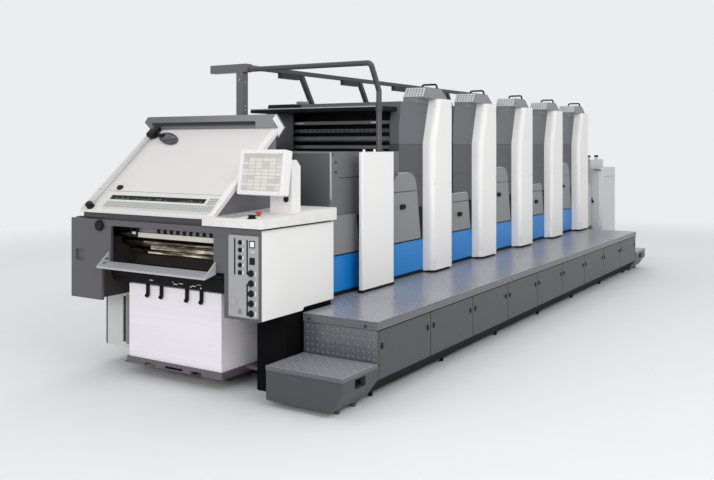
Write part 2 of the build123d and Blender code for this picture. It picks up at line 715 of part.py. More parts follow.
# Printing units: a dark body with an open delivery-side face, and white covers that taper near the top
BODY_LEAN = 36
BODY_LEAN_HEIGHT = 183
FRAME_WALL = 85
POCKET_DEPTH = 280
POCKET_LIP = 60
TOWER_TAPER = 107
TOWER_TAPER_HEIGHT = 360
TOWER_ROUND = 45
pocket_half_width = SIDE_PLANE - FRAME_WALL
pocket_top = body_level - POCKET_LIP
for number, x_centre in enumerate(unit_centres, start=1):
    x_body = x_centre - BODY_BEFORE_CENTRE
    x_body_end = x_centre + BODY_AFTER_CENTRE
    with BuildPart() as unit_body:
        side_profile(
            [
                (x_body, BED_HEIGHT),
                (x_body, body_level - BODY_LEAN_HEIGHT),
                (x_body + BODY_LEAN, body_level),
                (x_body_end, body_level),
                (x_body_end, BED_HEIGHT),
            ],
            (-SIDE_PLANE, SIDE_PLANE),
        )
        pocket_sides = (-pocket_half_width, pocket_half_width)
        block((x_body, x_body + POCKET_DEPTH), pocket_sides, (chain_level, pocket_top), Mode.SUBTRACT)
    save(unit_body, f"unit_{number}_body")

    x_tower = x_centre - TOWER_LENGTH / 2
    x_tower_end = x_centre + TOWER_LENGTH / 2
    with BuildPart() as tower:
        side_profile(
            [
                (x_tower, cover_bottom),
                (x_tower, tower_level - TOWER_TAPER_HEIGHT),
                (x_tower + TOWER_TAPER, tower_level),
                (x_tower_end, tower_level),
                (x_tower_end, cover_bottom),
            ],
            (-tower_plane, -SIDE_PLANE),
        )
        front_edges = tower.faces().sort_by(Axis.Y)[0].edges().filter_by(Axis.X, reverse=True)
        fillet(front_edges.sort_by(Axis.X)[:2], TOWER_ROUND)
        mirror(about=Plane.XZ)
        drive_cover = (SIDE_PLANE, tower_plane)
        block((x_tower, x_tower_end), drive_cover, (body_level, tower_level), Mode.SUBTRACT)
    save(tower, f"unit_{number}_tower_covers")

# Visor that reaches out over the open face of the first unit
VISOR_REACH = 232
VISOR_HALF_WIDTH = 615
VISOR_THICKNESS = 32
VISOR_DROP = 16
with BuildPart() as visor:
    x_first_body = unit_centres[0] - BODY_BEFORE_CENTRE
    x_visor = x_first_body - VISOR_REACH
    visor_under = pocket_top - VISOR_DROP
    visor_top = visor_under + VISOR_THICKNESS
    lean_start = body_level - BODY_LEAN_HEIGHT
    lean = BODY_LEAN / BODY_LEAN_HEIGHT
    side_profile(
        [
            (x_visor, visor_under),
            (x_visor, visor_top),
            (x_first_body + lean * (visor_top - lean_start), visor_top),
            (x_first_body + lean * (visor_under - lean_start), visor_under),
        ],
        (-VISOR_HALF_WIDTH, VISOR_HALF_WIDTH),
    )
save(visor, "unit_1_visor")

# A roller and three flat bars across the open face of each unit
BAR_SETBACK = 62
BAR_RADIUS = 22
FLAT_BAR_DEPTH = 46
FLAT_BAR_HEIGHT = 26
BAR_ROW_COUNT = 4
ROLLER_ROW = 1
with BuildPart() as plate_bars:
    bar_pitch = (pocket_top - chain_level) / (BAR_ROW_COUNT + 1)
    for x_centre in unit_centres:
        x_bar = x_centre - BODY_BEFORE_CENTRE + BAR_SETBACK
        for row in range(BAR_ROW_COUNT):
            level = chain_level + (row + 0.5) * bar_pitch
            if row == ROLLER_ROW:
                cross_rod(x_bar + BAR_RADIUS, level, pocket_sides, BAR_RADIUS)
            else:
                bar_span = (level - FLAT_BAR_HEIGHT / 2, level + FLAT_BAR_HEIGHT / 2)
                block((x_bar, x_bar + FLAT_BAR_DEPTH), pocket_sides, bar_span)
save(plate_bars, "plate_bars")

# Grey caps over the operator's towers, with a slotted vent grille on the slope and a bow handle on top
CAP_BEFORE = 262
CAP_AFTER = 145
CAP_HEIGHT = 85
CAP_SLOPE = 50
CAP_FLAT = 250
CAP_INSET = 33
CAP_LAP = 125
GRILLE_MARGIN = 9
GRILLE_THICKNESS = 8
GRILLE_SLOTS = 6
HANDLE_PLACE = 244
HANDLE_INSET = 8
HANDLE_SPAN = 150
HANDLE_HEIGHT = 42
HANDLE_BAR = 16
HANDLE_ROUND = 26
cap_outer = tower_plane - CAP_INSET
cap_inner = SIDE_PLANE - CAP_LAP
cap_width = cap_outer - cap_inner
cap_middle = -(cap_outer + cap_inner) / 2
cap_top = tower_level + CAP_HEIGHT
with BuildPart() as caps:
    for x_centre in unit_centres:
        x_cap = x_centre - CAP_BEFORE
        x_cap_end = x_centre + CAP_AFTER
        side_profile(
            [
                (x_cap, tower_level),
                (x_cap + CAP_SLOPE, cap_top),
                (x_cap + CAP_SLOPE + CAP_FLAT, cap_top),
                (x_cap_end, tower_level + COVER_GAP),
                (x_cap_end, tower_level),
            ],
            (-cap_outer, -cap_inner),
        )
        block((x_cap, x_cap_end), (-SIDE_PLANE, -cap_inner), (body_level, tower_level))
save(caps, "unit_caps")

with BuildPart() as grilles:
    slope_length = (CAP_SLOPE**2 + CAP_HEIGHT**2) ** 0.5
    slope_up = (CAP_SLOPE, 0, CAP_HEIGHT)
    slope_out = (-CAP_HEIGHT, 0, CAP_SLOPE)
    grille_width = cap_width - 2 * GRILLE_MARGIN
    grille_height = slope_length - 2 * GRILLE_MARGIN
    slot_pitch = grille_width / (GRILLE_SLOTS + 0.5)
    slot_start = -(GRILLE_SLOTS - 1) / 2 * slot_pitch
    for x_centre in unit_centres:
        foot = (x_centre - CAP_BEFORE, cap_middle, tower_level)
        slope_plane = Plane(origin=foot, x_dir=slope_up, z_dir=slope_out)
        with BuildSketch(slope_plane) as grille:
            with Locations((slope_length / 2, 0)):
                Rectangle(grille_height, grille_width)
            with Locations(*[(slope_length / 2, slot_start + i * slot_pitch) for i in range(GRILLE_SLOTS)]):
                Rectangle(grille_height - 2 * GRILLE_MARGIN, slot_pitch / 2, mode=Mode.SUBTRACT)
        extrude(grille.sketch, amount=GRILLE_THICKNESS)
save(grilles, "cap_grilles")

with BuildPart() as handles:
    handle_middle = -cap_outer + HANDLE_INSET + HANDLE_SPAN / 2
    inner_span = HANDLE_SPAN - 2 * HANDLE_BAR
    inner_height = HANDLE_HEIGHT - HANDLE_BAR
    inner_round = HANDLE_ROUND - HANDLE_BAR
    for x_centre in unit_centres:
        x_handle = x_centre - CAP_BEFORE + HANDLE_PLACE
        with BuildSketch(Plane.YZ.offset(x_handle)) as bow:
            with Locations((handle_middle, cap_top)):
                RectangleRounded(HANDLE_SPAN, 2 * HANDLE_HEIGHT, HANDLE_ROUND)
                RectangleRounded(inner_span, 2 * inner_height, inner_round, mode=Mode.SUBTRACT)
                Rectangle(HANDLE_SPAN, HANDLE_HEIGHT, align=(Align.CENTER, Align.MAX), mode=Mode.SUBTRACT)
        extrude(bow.sketch, amount=HANDLE_BAR)
save(handles, "cap_handles")

# Light-grey guards and blue base covers between the white covers; tall and low guards take turns
BASE_GAP = 27
BASE_HEIGHT = 240
GUARD_SLOPE = 0.17
GUARD_END_GAP = 60
TALL_GUARD_HEIGHT = 376
TALL_GUARD_HEAD = 142
LOW_GUARD_HEIGHT = 244
LOW_GUARD_HEAD = 73
DELIVERY_GUARD_HEIGHT = 262
TALL_GUARD_ROUND = 125
LOW_GUARD_ROUND = 40
base_bottom = DECK_LEVEL + BASE_GAP
base_top = base_bottom + BASE_HEIGHT
guard_bottom = base_top + 2 * SEAM
gap_starts = [x_post_end] + tower_ends[:-1]


def guard_outline(start, end, low, high):
    """Outline of a guard whose two edges lean inward as it rises."""
    low_inset = GUARD_END_GAP + GUARD_SLOPE * (low - guard_bottom)
    high_inset = GUARD_END_GAP + GUARD_SLOPE * (high - guard_bottom)
    return [
        (start + low_inset, low),
        (start + high_inset, high),
        (end - high_inset, high),
        (end - low_inset, low),
    ]


with BuildPart() as guards:
    guard_sides = (-guard_plane, -SIDE_PLANE)
    for k in range(UNIT_COUNT):
        if k % 2 == 0:
            seam_level = guard_bottom + TALL_GUARD_HEIGHT
            head_height = TALL_GUARD_HEAD
            head_round = TALL_GUARD_ROUND
        else:
            seam_level = guard_bottom + LOW_GUARD_HEIGHT
            head_height = LOW_GUARD_HEAD
            head_round = LOW_GUARD_ROUND
        head_top = seam_level + SEAM + head_height
        side_profile(guard_outline(gap_starts[k], tower_starts[k], guard_bottom, seam_level), guard_sides)
        head = guard_outline(gap_starts[k], tower_starts[k], seam_level + SEAM, head_top)
        with BuildSketch(Plane.XZ.offset(SIDE_PLANE)) as head_face:
            with BuildLine():
                Polyline(*head, close=True)
            make_face()
            fillet(head_face.vertices().group_by(Axis.Y)[-1], head_round)
        extrude(head_face.sketch, amount=GUARD_DEPTH)
    delivery_guard_top = guard_bottom + DELIVERY_GUARD_HEIGHT
    side_profile(guard_outline(x_cover_end, x_post_core, guard_bottom, delivery_guard_top), guard_sides)
    mirror(about=Plane.XZ)
save(guards, "unit_guards")

with BuildPart() as base_covers:
    for start, end in [*zip(gap_starts, tower_starts), (x_cover_end, x_post_core)]:
        block((start + SEAM, end - SEAM), (-base_plane, -SIDE_PLANE), (base_bottom, base_top))
    mirror(about=Plane.XZ)
save(base_covers, "base_covers")

# Guard pipe, gantry and the long beam over the units
BEAM_WIDTH = 40
BEAM_HEIGHT = 36
BEAM_INSET = 193
BEAM_SHORT = 250
STRUT_HEIGHT = 256
STRUT_WIDTH = 40
STRUT_FOOT = 130
STRUT_HEAD = 303
LAMP_LENGTH = 260
LAMP_HEIGHT = 42
GANTRY_PLACE = 156
GANTRY_BOX = 64
GANTRY_INWARD = 72
GANTRY_OUTWARD = 301
PIPE_PLACE = 313
PIPE_SKEW = 42
PIPE_OUT = 45
PIPE_RADIUS = 20
PIPE_BEND = 28
PIPE_STRAIGHT = 440
beam_line = SIDE_PLANE - BEAM_INSET
beam_sides = (beam_line - BEAM_WIDTH / 2, beam_line + BEAM_WIDTH / 2)
beam_under = body_level + STRUT_HEIGHT
beam_top = beam_under + BEAM_HEIGHT
x_gantry = x_post + GANTRY_PLACE
gantry_span = (x_gantry - GANTRY_BOX / 2, x_gantry + GANTRY_BOX / 2)
gantry_under = beam_top - GANTRY_BOX
with BuildPart() as pipe:
    x_foot = x_post + PIPE_PLACE
    pipe_line = -SIDE_PLANE - PIPE_OUT
    pipe_level = gantry_under + PIPE_RADIUS
    with BuildLine() as pipe_path:
        FilletPolyline(
            (x_foot, pipe_line, chain_level),
            (x_foot, pipe_line, chain_level + PIPE_STRAIGHT),
            (x_gantry + PIPE_SKEW, pipe_line, pipe_level),
            (x_gantry, beam_line - GANTRY_INWARD + PIPE_RADIUS, pipe_level),
            radius=PIPE_BEND,
        )
    with BuildSketch(Plane(origin=(x_foot, pipe_line, chain_level), z_dir=(0, 0, 1))):
        Circle(PIPE_RADIUS)
    sweep(path=pipe_path.line)
    gantry_arm = (beam_line - GANTRY_INWARD, beam_line + GANTRY_OUTWARD)
    block(gantry_span, gantry_arm, (gantry_under, beam_top), Mode.SUBTRACT)
save(pipe, "guard_pipe")

with BuildPart() as gantry:
    block(gantry_span, gantry_arm, (gantry_under, beam_top))
    post_sides = (beam_line - GANTRY_BOX / 2, beam_line + GANTRY_BOX / 2)
    block(gantry_span, post_sides, (chain_level, gantry_under))
save(gantry, "gantry")

with BuildPart() as beam:
    block((gantry_span[1], unit_centres[-1] - BEAM_SHORT), beam_sides, (beam_under, beam_top))
save(beam, "overhead_beam")

with BuildPart() as struts:
    for x_centre in unit_centres:
        x_low = x_centre - STRUT_FOOT
        x_high = x_centre - STRUT_HEAD
        side_profile(
            [
                (x_low - STRUT_WIDTH / 2, body_level),
                (x_high - STRUT_WIDTH / 2, beam_under),
                (x_high + STRUT_WIDTH / 2, beam_under),
                (x_low + STRUT_WIDTH / 2, body_level),
            ],
            beam_sides,
        )
save(struts, "beam_struts")

with BuildPart() as lamps:
    for x_centre in unit_centres:
        lamp_end = x_centre - STRUT_HEAD - STRUT_WIDTH
        block((lamp_end - LAMP_LENGTH, lamp_end), beam_sides, (beam_under - LAMP_HEIGHT, beam_under))
save(lamps, "beam_lamps")

# Feeder: two side cabinets with the feed pile between them, a feed table and the feeder head
CABINET_INNER = 540
CABINET_HEIGHT = 1196
CABINET_ROUND = 40
FEED_BOARD_BOTTOM = 120
FEED_BOARD_THICKNESS = 50
FEED_PILE_DROP = 116
FEED_PILE_SETBACK = 25
FEED_TABLE_HALF_WIDTH = 470
FEED_TABLE_RISE = 85
HEAD_BOX_WIDTH = 85
HEAD_BOX_HEIGHT = 101
HEAD_BOX_SHORT = 25
HEAD_BEAM_SETBACK = 120
HEAD_BEAM_LENGTH = 210
HEAD_BEAM_LIFT = 19
HEAD_KNOB_PLACE = 62
HEAD_KNOB_PITCH = 340
HEAD_KNOB_RADIUS = 20
HEAD_KNOB_HEIGHT = 56
feed_board_top = FEED_BOARD_BOTTOM + FEED_BOARD_THICKNESS
head_top = CABINET_HEIGHT + HEAD_BOX_HEIGHT
with BuildPart() as cabinets:
    for low, high in ((-OPERATOR_COVER_PLANE, -CABINET_INNER), (CABINET_INNER, DRIVE_COVER_PLANE)):
        block((x_feeder, x_feeder_end), (low, high), (0, CABINET_HEIGHT))
    cabinet_edges = cabinets.edges().filter_by(Axis.Z).group_by(Axis.Y)
    fillet(cabinet_edges[0] + cabinet_edges[-1], CABINET_ROUND)
save(cabinets, "feeder_cabinets")

x_feed_pile = x_feeder + FEED_PILE_SETBACK
x_feed_pile_end = x_feed_pile + SHEET_LENGTH
with BuildPart() as feed_board:
    block((x_feeder, x_feed_pile_end), (-CABINET_INNER, CABINET_INNER), (FEED_BOARD_BOTTOM, feed_board_top))
save(feed_board, "feed_board")

with BuildPart() as feed_pile:
    block(
        (x_feed_pile, x_feed_pile_end),
        (-SHEET_WIDTH / 2, SHEET_WIDTH / 2),
        (feed_board_top, CABINET_HEIGHT - FEED_PILE_DROP),
    )
save(feed_pile, "feed_pile")

with BuildPart() as feed_table:
    side_profile(
        [
            (x_last_body, BED_HEIGHT),
            (x_last_body, BED_HEIGHT + COVER_GAP),
            (x_feeder, BED_HEIGHT + FEED_TABLE_RISE),
            (x_feeder, BED_HEIGHT),
        ],
        (-FEED_TABLE_HALF_WIDTH, FEED_TABLE_HALF_WIDTH),
    )
save(feed_table, "feed_table")

with BuildPart() as head_boxes:
    head_plane = CABINET_INNER + HEAD_BOX_WIDTH
    head_span = (x_feeder, x_feeder_end - HEAD_BOX_SHORT)
    block(head_span, (-head_plane, -CABINET_INNER), (CABINET_HEIGHT, head_top))
    block(head_span, (CABINET_INNER, head_plane), (CABINET_HEIGHT, head_top))
    for along in (HEAD_KNOB_PLACE, HEAD_KNOB_PLACE + HEAD_KNOB_PITCH):
        with Locations((x_feeder + along, -CABINET_INNER - HEAD_BOX_WIDTH / 2, head_top)):
            Cylinder(HEAD_KNOB_RADIUS, HEAD_KNOB_HEIGHT, align=(Align.CENTER, Align.CENTER, Align.MIN))
save(head_boxes, "feeder_head_boxes")

with BuildPart() as head_beam:
    x_head_beam = x_feeder + HEAD_BEAM_SETBACK
    block(
        (x_head_beam, x_head_beam + HEAD_BEAM_LENGTH),
        (-CABINET_INNER, CABINET_INNER),
        (CABINET_HEIGHT + HEAD_BEAM_LIFT, head_top),
    )
save(head_beam, "feeder_head")
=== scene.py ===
from math import atan2, pi, radians

import bpy
import numpy as np
from bpy.props import FloatProperty, FloatVectorProperty, IntProperty, PointerProperty
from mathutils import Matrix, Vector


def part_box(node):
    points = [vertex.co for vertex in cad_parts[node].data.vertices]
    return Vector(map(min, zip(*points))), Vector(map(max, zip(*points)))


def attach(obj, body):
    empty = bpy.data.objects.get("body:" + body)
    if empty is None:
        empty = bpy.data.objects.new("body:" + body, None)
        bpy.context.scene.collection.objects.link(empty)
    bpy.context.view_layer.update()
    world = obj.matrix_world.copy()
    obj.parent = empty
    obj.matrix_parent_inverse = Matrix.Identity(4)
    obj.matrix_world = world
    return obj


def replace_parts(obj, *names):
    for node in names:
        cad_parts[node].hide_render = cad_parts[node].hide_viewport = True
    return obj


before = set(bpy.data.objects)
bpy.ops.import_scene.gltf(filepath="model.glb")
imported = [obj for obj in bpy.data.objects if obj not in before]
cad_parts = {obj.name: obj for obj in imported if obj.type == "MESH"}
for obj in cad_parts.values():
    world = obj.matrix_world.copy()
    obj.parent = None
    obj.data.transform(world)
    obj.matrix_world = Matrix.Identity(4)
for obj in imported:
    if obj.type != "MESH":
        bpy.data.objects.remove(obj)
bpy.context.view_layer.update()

bl_info = {
    "name": "Offset press dressing",
    "version": (1, 0, 0),
    "blender": (4, 5, 0),
    "location": "View3D > Sidebar > Press",
    "description": "Finishes and small fittings for a packed five-colour sheet-fed offset press",
    "category": "Object",
}

# Directions: the press runs along X, the operator's side faces -Y
EAST = np.array([1.0, 0.0, 0.0])
NORTH = np.array([0.0, 1.0, 0.0])
UP = np.array([0.0, 0.0, 1.0])
MM = 0.001

# Sides of the press: across and upward of a plate that lies on each
OPERATOR = (EAST, UP)
DRIVE = (-EAST, UP)
DELIVERY = (-NORTH, UP)
TOP = (EAST, NORTH)


def box(node):
    """Lowest and highest corner of a CAD node, in millimetres."""
    low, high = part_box(node)
    return np.array(low) / MM, np.array(high) / MM


def spots(x, y, z):
    """Points from coordinates that are numbers or arrays of one shape."""
    return np.stack(np.broadcast_arrays(x, y, z), axis=-1).astype(float).reshape(-1, 3)


def pairs(first, second):
    """Two flat arrays with every pairing of two lists of numbers."""
    return (grid.ravel() for grid in np.meshgrid(first, second))


# Units along the press, in millimetres
TOWERS = [f"unit_{k}_tower_covers" for k in range(1, 6)]
BODIES = [f"unit_{k}_body" for k in range(1, 6)]
BODY_STARTS = np.array([box(name)[0][0] for name in BODIES])
TOWER_STARTS = np.array([box(name)[0][0] for name in TOWERS])
TOWER_ENDS = np.array([box(name)[1][0] for name in TOWERS])
UNIT_CENTRES = (TOWER_STARTS + TOWER_ENDS) / 2

# What the finishes of the frames and the bed follow, in metres
UNIT_STEP = float(UNIT_CENTRES[1] - UNIT_CENTRES[0]) * MM
BODY_START = float(BODY_STARTS[0]) * MM
WALK_LEVEL = float(box("platform_decks")[1][2]) * MM - 0.0005
FEEDER_START = float(TOWER_ENDS[-1] + 50) * MM
FRAME_SEAMS = (1.493, 1.241)
FRAME_SEAM_HALF = 0.0025
OPENING_DEPTH = 0.2815
OPENING_HALF_WIDTH = 0.5605
OPENING_LEVELS = (1.4395, 1.7635)

# Plane of the light desk: its foot and the direction up its slope
DESK_BOARD = 18
DESK_LOW, DESK_HIGH = box("light_desk")
DESK_FOOT = np.array([DESK_LOW[0], 0, DESK_LOW[2] + DESK_BOARD])
DESK_RISE = np.array([DESK_HIGH[0], 0, DESK_HIGH[2]]) - DESK_FOOT
DESK_RISE = DESK_RISE / np.linalg.norm(DESK_RISE)
DESK = (-NORTH, DESK_RISE)

# Middle of the screen, and how far it leans back
SCREEN_MIDDLE = np.array([-4073.5, -631.5, 1328])
SCREEN_LEAN = radians(9)


def desk_places(along, y, lift):
    """Points on the light desk: foot + along * rise + y * north + lift * normal."""
    along, y = np.broadcast_arrays(np.asarray(along, float), np.asarray(y, float))
    return DESK_FOOT + along[..., None] * DESK_RISE + y[..., None] * NORTH + lift * np.cross(*DESK)


def linear(red, green, blue):
    """Linear colour from the usual 0 to 255 screen values."""
    screen = np.array([red, green, blue]) / 255
    low = screen / 12.92
    high = ((screen + 0.055) / 1.055) ** 2.4
    return tuple(float(c) for c in np.where(screen <= 0.04045, low, high))


class Form:
    """Points and four-cornered faces of a surface; a face that repeats its last corner is a triangle."""

    def __init__(self, points, faces):
        self.points = np.asarray(points, float).reshape(-1, 3)
        self.faces = np.asarray(faces, int).reshape(-1, 4)

    def __add__(self, other):
        points = np.vstack([self.points, other.points])
        return Form(points, np.vstack([self.faces, other.faces + len(self.points)]))

    def at(self, places):
        """One copy of the form at each place."""
        places = np.asarray(places, float).reshape(-1, 1, 3)
        steps = np.arange(len(places)).reshape(-1, 1, 1) * len(self.points)
        return Form(places + self.points[None], self.faces[None] + steps)

    def facing(self, across, upward):
        """Turns the form so that its own x and y lie along the two given directions."""
        across = np.asarray(across, float)
        upward = np.asarray(upward, float)
        return Form(self.points @ np.array([across, upward, np.cross(across, upward)]), self.faces)

    def on(self, side, x, y, z):
        """The form laid on a side of the press, once at each place."""
        return self.facing(*side).at(spots(x, y, z))

    def on_desk(self, along, y, lift=0):
        """The form laid on the light desk, once at each place."""
        return self.facing(*DESK).at(desk_places(along, y, lift))

    def mirrored(self):
        """The form on the other side of the press centreline, with its faces still pointing outwards."""
        return Form(self.points * (1, -1, 1), self.faces[:, [1, 0, 3, 2]])

    def both(self):
        """The form on both sides of the press."""
        return self + self.mirrored()

    def welded(self):
        """Joins points that coincide, which closes seams and poles, and drops faces left without area."""
        nearby = np.round(self.points, 4)
        _, first, merged = np.unique(nearby, axis=0, return_index=True, return_inverse=True)
        faces = merged.reshape(-1)[self.faces]
        same = faces == np.roll(faces, -1, axis=1)
        order = (np.arange(4) + np.argmax(same, axis=1)[:, None] + 2) % 4
        triangles = np.take_along_axis(faces, order, axis=1)
        count = same.sum(axis=1)
        faces = np.where((count == 1)[:, None], triangles, faces)
        return Form(self.points[first], faces[count < 2])


def joined(forms):
    """One form from several."""
    whole, *others = forms
    for other in others:
        whole = whole + other
    return whole


def grid_faces(rows, columns):
    """Faces between neighbours in a grid of points whose last column joins the first."""
    index = np.arange(rows * columns).reshape(rows, columns)
    beside = np.roll(index, -1, axis=1)
    return np.stack([index[:-1], beside[:-1], beside[1:], index[1:]], axis=-1).reshape(-1, 4)


def loft(rings):
    """Closed skin through rings of points, each end drawn in to the middle of its ring."""
    rings = np.asarray(rings, float)
    start = np.broadcast_to(rings[:1].mean(axis=1, keepdims=True), rings[:1].shape)
    end = np.broadcast_to(rings[-1:].mean(axis=1, keepdims=True), rings[-1:].shape)
    rings = np.concatenate([start, rings, end])
    return Form(rings, grid_faces(*rings.shape[:2])).welded()


def level_ring(outline, level):
    """A flat outline raised to a level."""
    return np.column_stack([outline, np.full(len(outline), level)])


def quarters(steps):
    """Angles of four quarter circles in turn, and the signs of their centres' x and y."""
    quarter = np.linspace(0, pi / 2, steps + 1)
    angle = np.concatenate([quarter + k * pi / 2 for k in range(4)])
    return angle, np.repeat([1, -1, -1, 1], steps + 1), np.repeat([1, 1, -1, -1], steps + 1)


def rounded_outline(width, height, corner, steps=3):
    """Rectangle with quarter-circle corners: p(a) = corner centre + corner * (cos a, sin a)."""
    angle, side, level = quarters(steps)
    x = side * (width / 2 - corner) + corner * np.cos(angle)
    y = level * (height / 2 - corner) + corner * np.sin(angle)
    return np.stack([x, y], axis=-1)


def moulded(width, height, corner, levels, steps=3):
    """Stack of rounded rectangles: levels gives each ring's height and how far it is drawn in."""
    rings = []
    for level, inset in levels:
        ring = rounded_outline(width - 2 * inset, height - 2 * inset, max(corner - inset, 0.01), steps)
        rings.append(level_ring(ring, level))
    return loft(rings)


def plate(width, height, thickness, corner=1.0, edge=0.3, steps=3):
    """Flat plate standing on its own plane, with a small bevel round the top."""
    return moulded(width, height, corner, [(0, 0), (thickness - edge, 0), (thickness, edge)], steps)


def prism(outline, thickness):
    """Flat form over a star-shaped outline, standing on its own plane."""
    return loft([level_ring(outline, level) for level in (0, thickness)])


def circle(radius, sides=16):
    """Round outline: p(a) = radius * (cos a, sin a)."""
    angle = np.linspace(0, 2 * pi, sides, endpoint=False)
    return radius * np.stack([np.cos(angle), np.sin(angle)], axis=-1)


def turned(profile, sides=24):
    """Solid of revolution p(t, a) = (r cos a, r sin a, h) for (radius, height) pairs, foot to head."""
    return loft([level_ring(circle(radius, sides), height) for radius, height in profile])


def bolt(radius, height, sides=12):
    """Domed fastener head: a turned profile that narrows in two steps."""
    shoulder = [(radius, 0), (radius, height * 0.55)]
    return turned([*shoulder, (radius * 0.75, height * 0.9), (radius * 0.3, height)], sides)


def rounded_block(low, high, edge=1.0, steps=2):
    """Box with round edges: p(u, v) = inner corner + edge * n(u, v), n being a sphere's normal."""
    low = np.asarray(low, float)
    high = np.asarray(high, float)
    longitude, side, depth = quarters(steps)
    quarter = longitude[: steps + 1]
    latitude = np.concatenate([quarter - pi / 2, quarter])[:, None]
    level = np.repeat([-1, 1], steps + 1)[:, None]
    signs = np.stack(np.broadcast_arrays(side, depth, level), axis=-1)
    ring = np.cos(latitude)
    normal = np.broadcast_arrays(ring * np.cos(longitude), ring * np.sin(longitude), np.sin(latitude))
    points = (low + high) / 2 + signs * ((high - low) / 2 - edge) + edge * np.stack(normal, axis=-1)
    rows, columns = points.shape[:2]
    corners = np.arange(4) * (steps + 1)
    caps = np.stack([corners[::-1], corners + (rows - 1) * columns])
    return Form(points, np.vstack([grid_faces(rows, columns), caps])).welded()


def directions(vectors):
    """Vectors of length 1 in the same directions."""
    return vectors / np.linalg.norm(vectors, axis=-1, keepdims=True)


def bent_path(corners, radius, steps=6):
    """Points along straight runs whose corners are arcs of the given radius."""
    corners = np.asarray(corners, float)
    path = [corners[:1]]
    for before, corner, after in zip(corners, corners[1:], corners[2:]):
        inward = directions(before - corner)
        onward = directions(after - corner)
        half = np.arccos(np.clip(inward @ onward, -1, 1)) / 2
        reach = radius / np.tan(half)
        centre = corner + directions(inward + onward) * radius / np.sin(half)
        start = corner + inward * reach - centre
        end = corner + onward * reach - centre
        sweep = np.arccos(np.clip(start @ end / radius**2, -1, 1))
        share = np.linspace(0, 1, steps + 1)[:, None]
        arc = np.sin((1 - share) * sweep) * start + np.sin(share * sweep) * end
        path.append(centre + arc / np.sin(sweep))
    path.append(corners[-1:])
    return np.concatenate(path)


def bar(path, section, upright):
    """Section (across, upright) carried along a path: p(s, a) = c(s) + u(s) n(s) + v(s) b(s)."""
    path = np.asarray(path, float)
    steps = directions(np.diff(path, axis=0))
    tangent = directions(np.vstack([steps[:1], steps[:-1] + steps[1:], steps[-1:]]))
    across = directions(np.cross(np.asarray(upright, float), tangent))
    upward = np.cross(tangent, across)
    stretch = 1 / np.einsum("ij,ij->i", tangent, np.vstack([steps[:1], steps]))[:, None, None]
    sideways = section[None, :, :1] * across[:, None] * stretch
    return loft(path[:, None] + sideways + section[None, :, 1:] * upward[:, None])


finishes = {}
SHARP_ANGLE = radians(35)


def show(name, form, finish, body="press"):
    """Makes a form a shown piece that rides on a body and takes its finish from a material slot."""
    mesh = bpy.data.meshes.new(name)
    faces = [face[:3] if face[2] == face[3] else face for face in form.faces.tolist()]
    mesh.from_pydata((form.points * MM).tolist(), [], faces)
    mesh.validate()
    mesh.shade_smooth()
    mesh.set_sharp_from_angle(angle=SHARP_ANGLE)
    mesh.materials.append(finishes[finish])
    piece = bpy.data.objects.new(name, mesh)
    bpy.context.scene.collection.objects.link(piece)
    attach(piece, body)
    return piece


def arithmetic(operation):
    """A method that puts one Math node on a value and on the others it is given."""

    def method(self, *others):
        inputs = dict(enumerate((self, *others)))
        return self.nodes.add("ShaderNodeMath", {"operation": operation}, inputs)

    return method


class Value:
    """A socket that takes part in arithmetic; each operator adds one Math node to its tree."""

    def __init__(self, nodes, socket):
        self.nodes = nodes
        self.socket = socket

    __add__ = __radd__ = arithmetic("ADD")
    __mul__ = __rmul__ = arithmetic("MULTIPLY")
    __sub__ = arithmetic("SUBTRACT")
    __truediv__ = arithmetic("DIVIDE")
    __mod__ = arithmetic("FLOORED_MODULO")
    __abs__ = arithmetic("ABSOLUTE")
    floor = arithmetic("FLOOR")
    root = arithmetic("SQRT")
    larger = arithmetic("MAXIMUM")
    # 1 where the value is over, or under, an edge, and 0 elsewhere
    above = arithmetic("GREATER_THAN")
    below = arithmetic("LESS_THAN")

    def __rsub__(self, other):
        return self.nodes.add("ShaderNodeMath", {"operation": "SUBTRACT"}, {0: other, 1: self})

    def ease(self, low, high):
        """0 below low, 1 above high, and a smooth step between."""
        inputs = {"Value": self, "From Min": low, "From Max": high}
        return self.nodes.add("ShaderNodeMapRange", {"interpolation_type": "SMOOTHSTEP"}, inputs)


class Nodes:
    """A node tree under construction."""

    def __init__(self, tree):
        self.tree = tree

    def set(self, node, key, value):
        """Sets a socket to a number or colour, or links it to another socket."""
        socket = node.inputs[key]
        if isinstance(value, Value):
            self.tree.links.new(value.socket, socket)
        elif socket.type == "RGBA" and len(value) == 3:
            socket.default_value = (*value, 1.0)
        else:
            socket.default_value = value

    def add(self, kind, settings=None, inputs=None, output=0):
        """Adds any node: its settings first, then the values or links of its sockets."""
        node = self.tree.nodes.new(kind)
        for key, value in (settings or {}).items():
            setattr(node, key, value)
        for key, value in (inputs or {}).items():
            self.set(node, key, value)
        return Value(self, node.outputs[output])


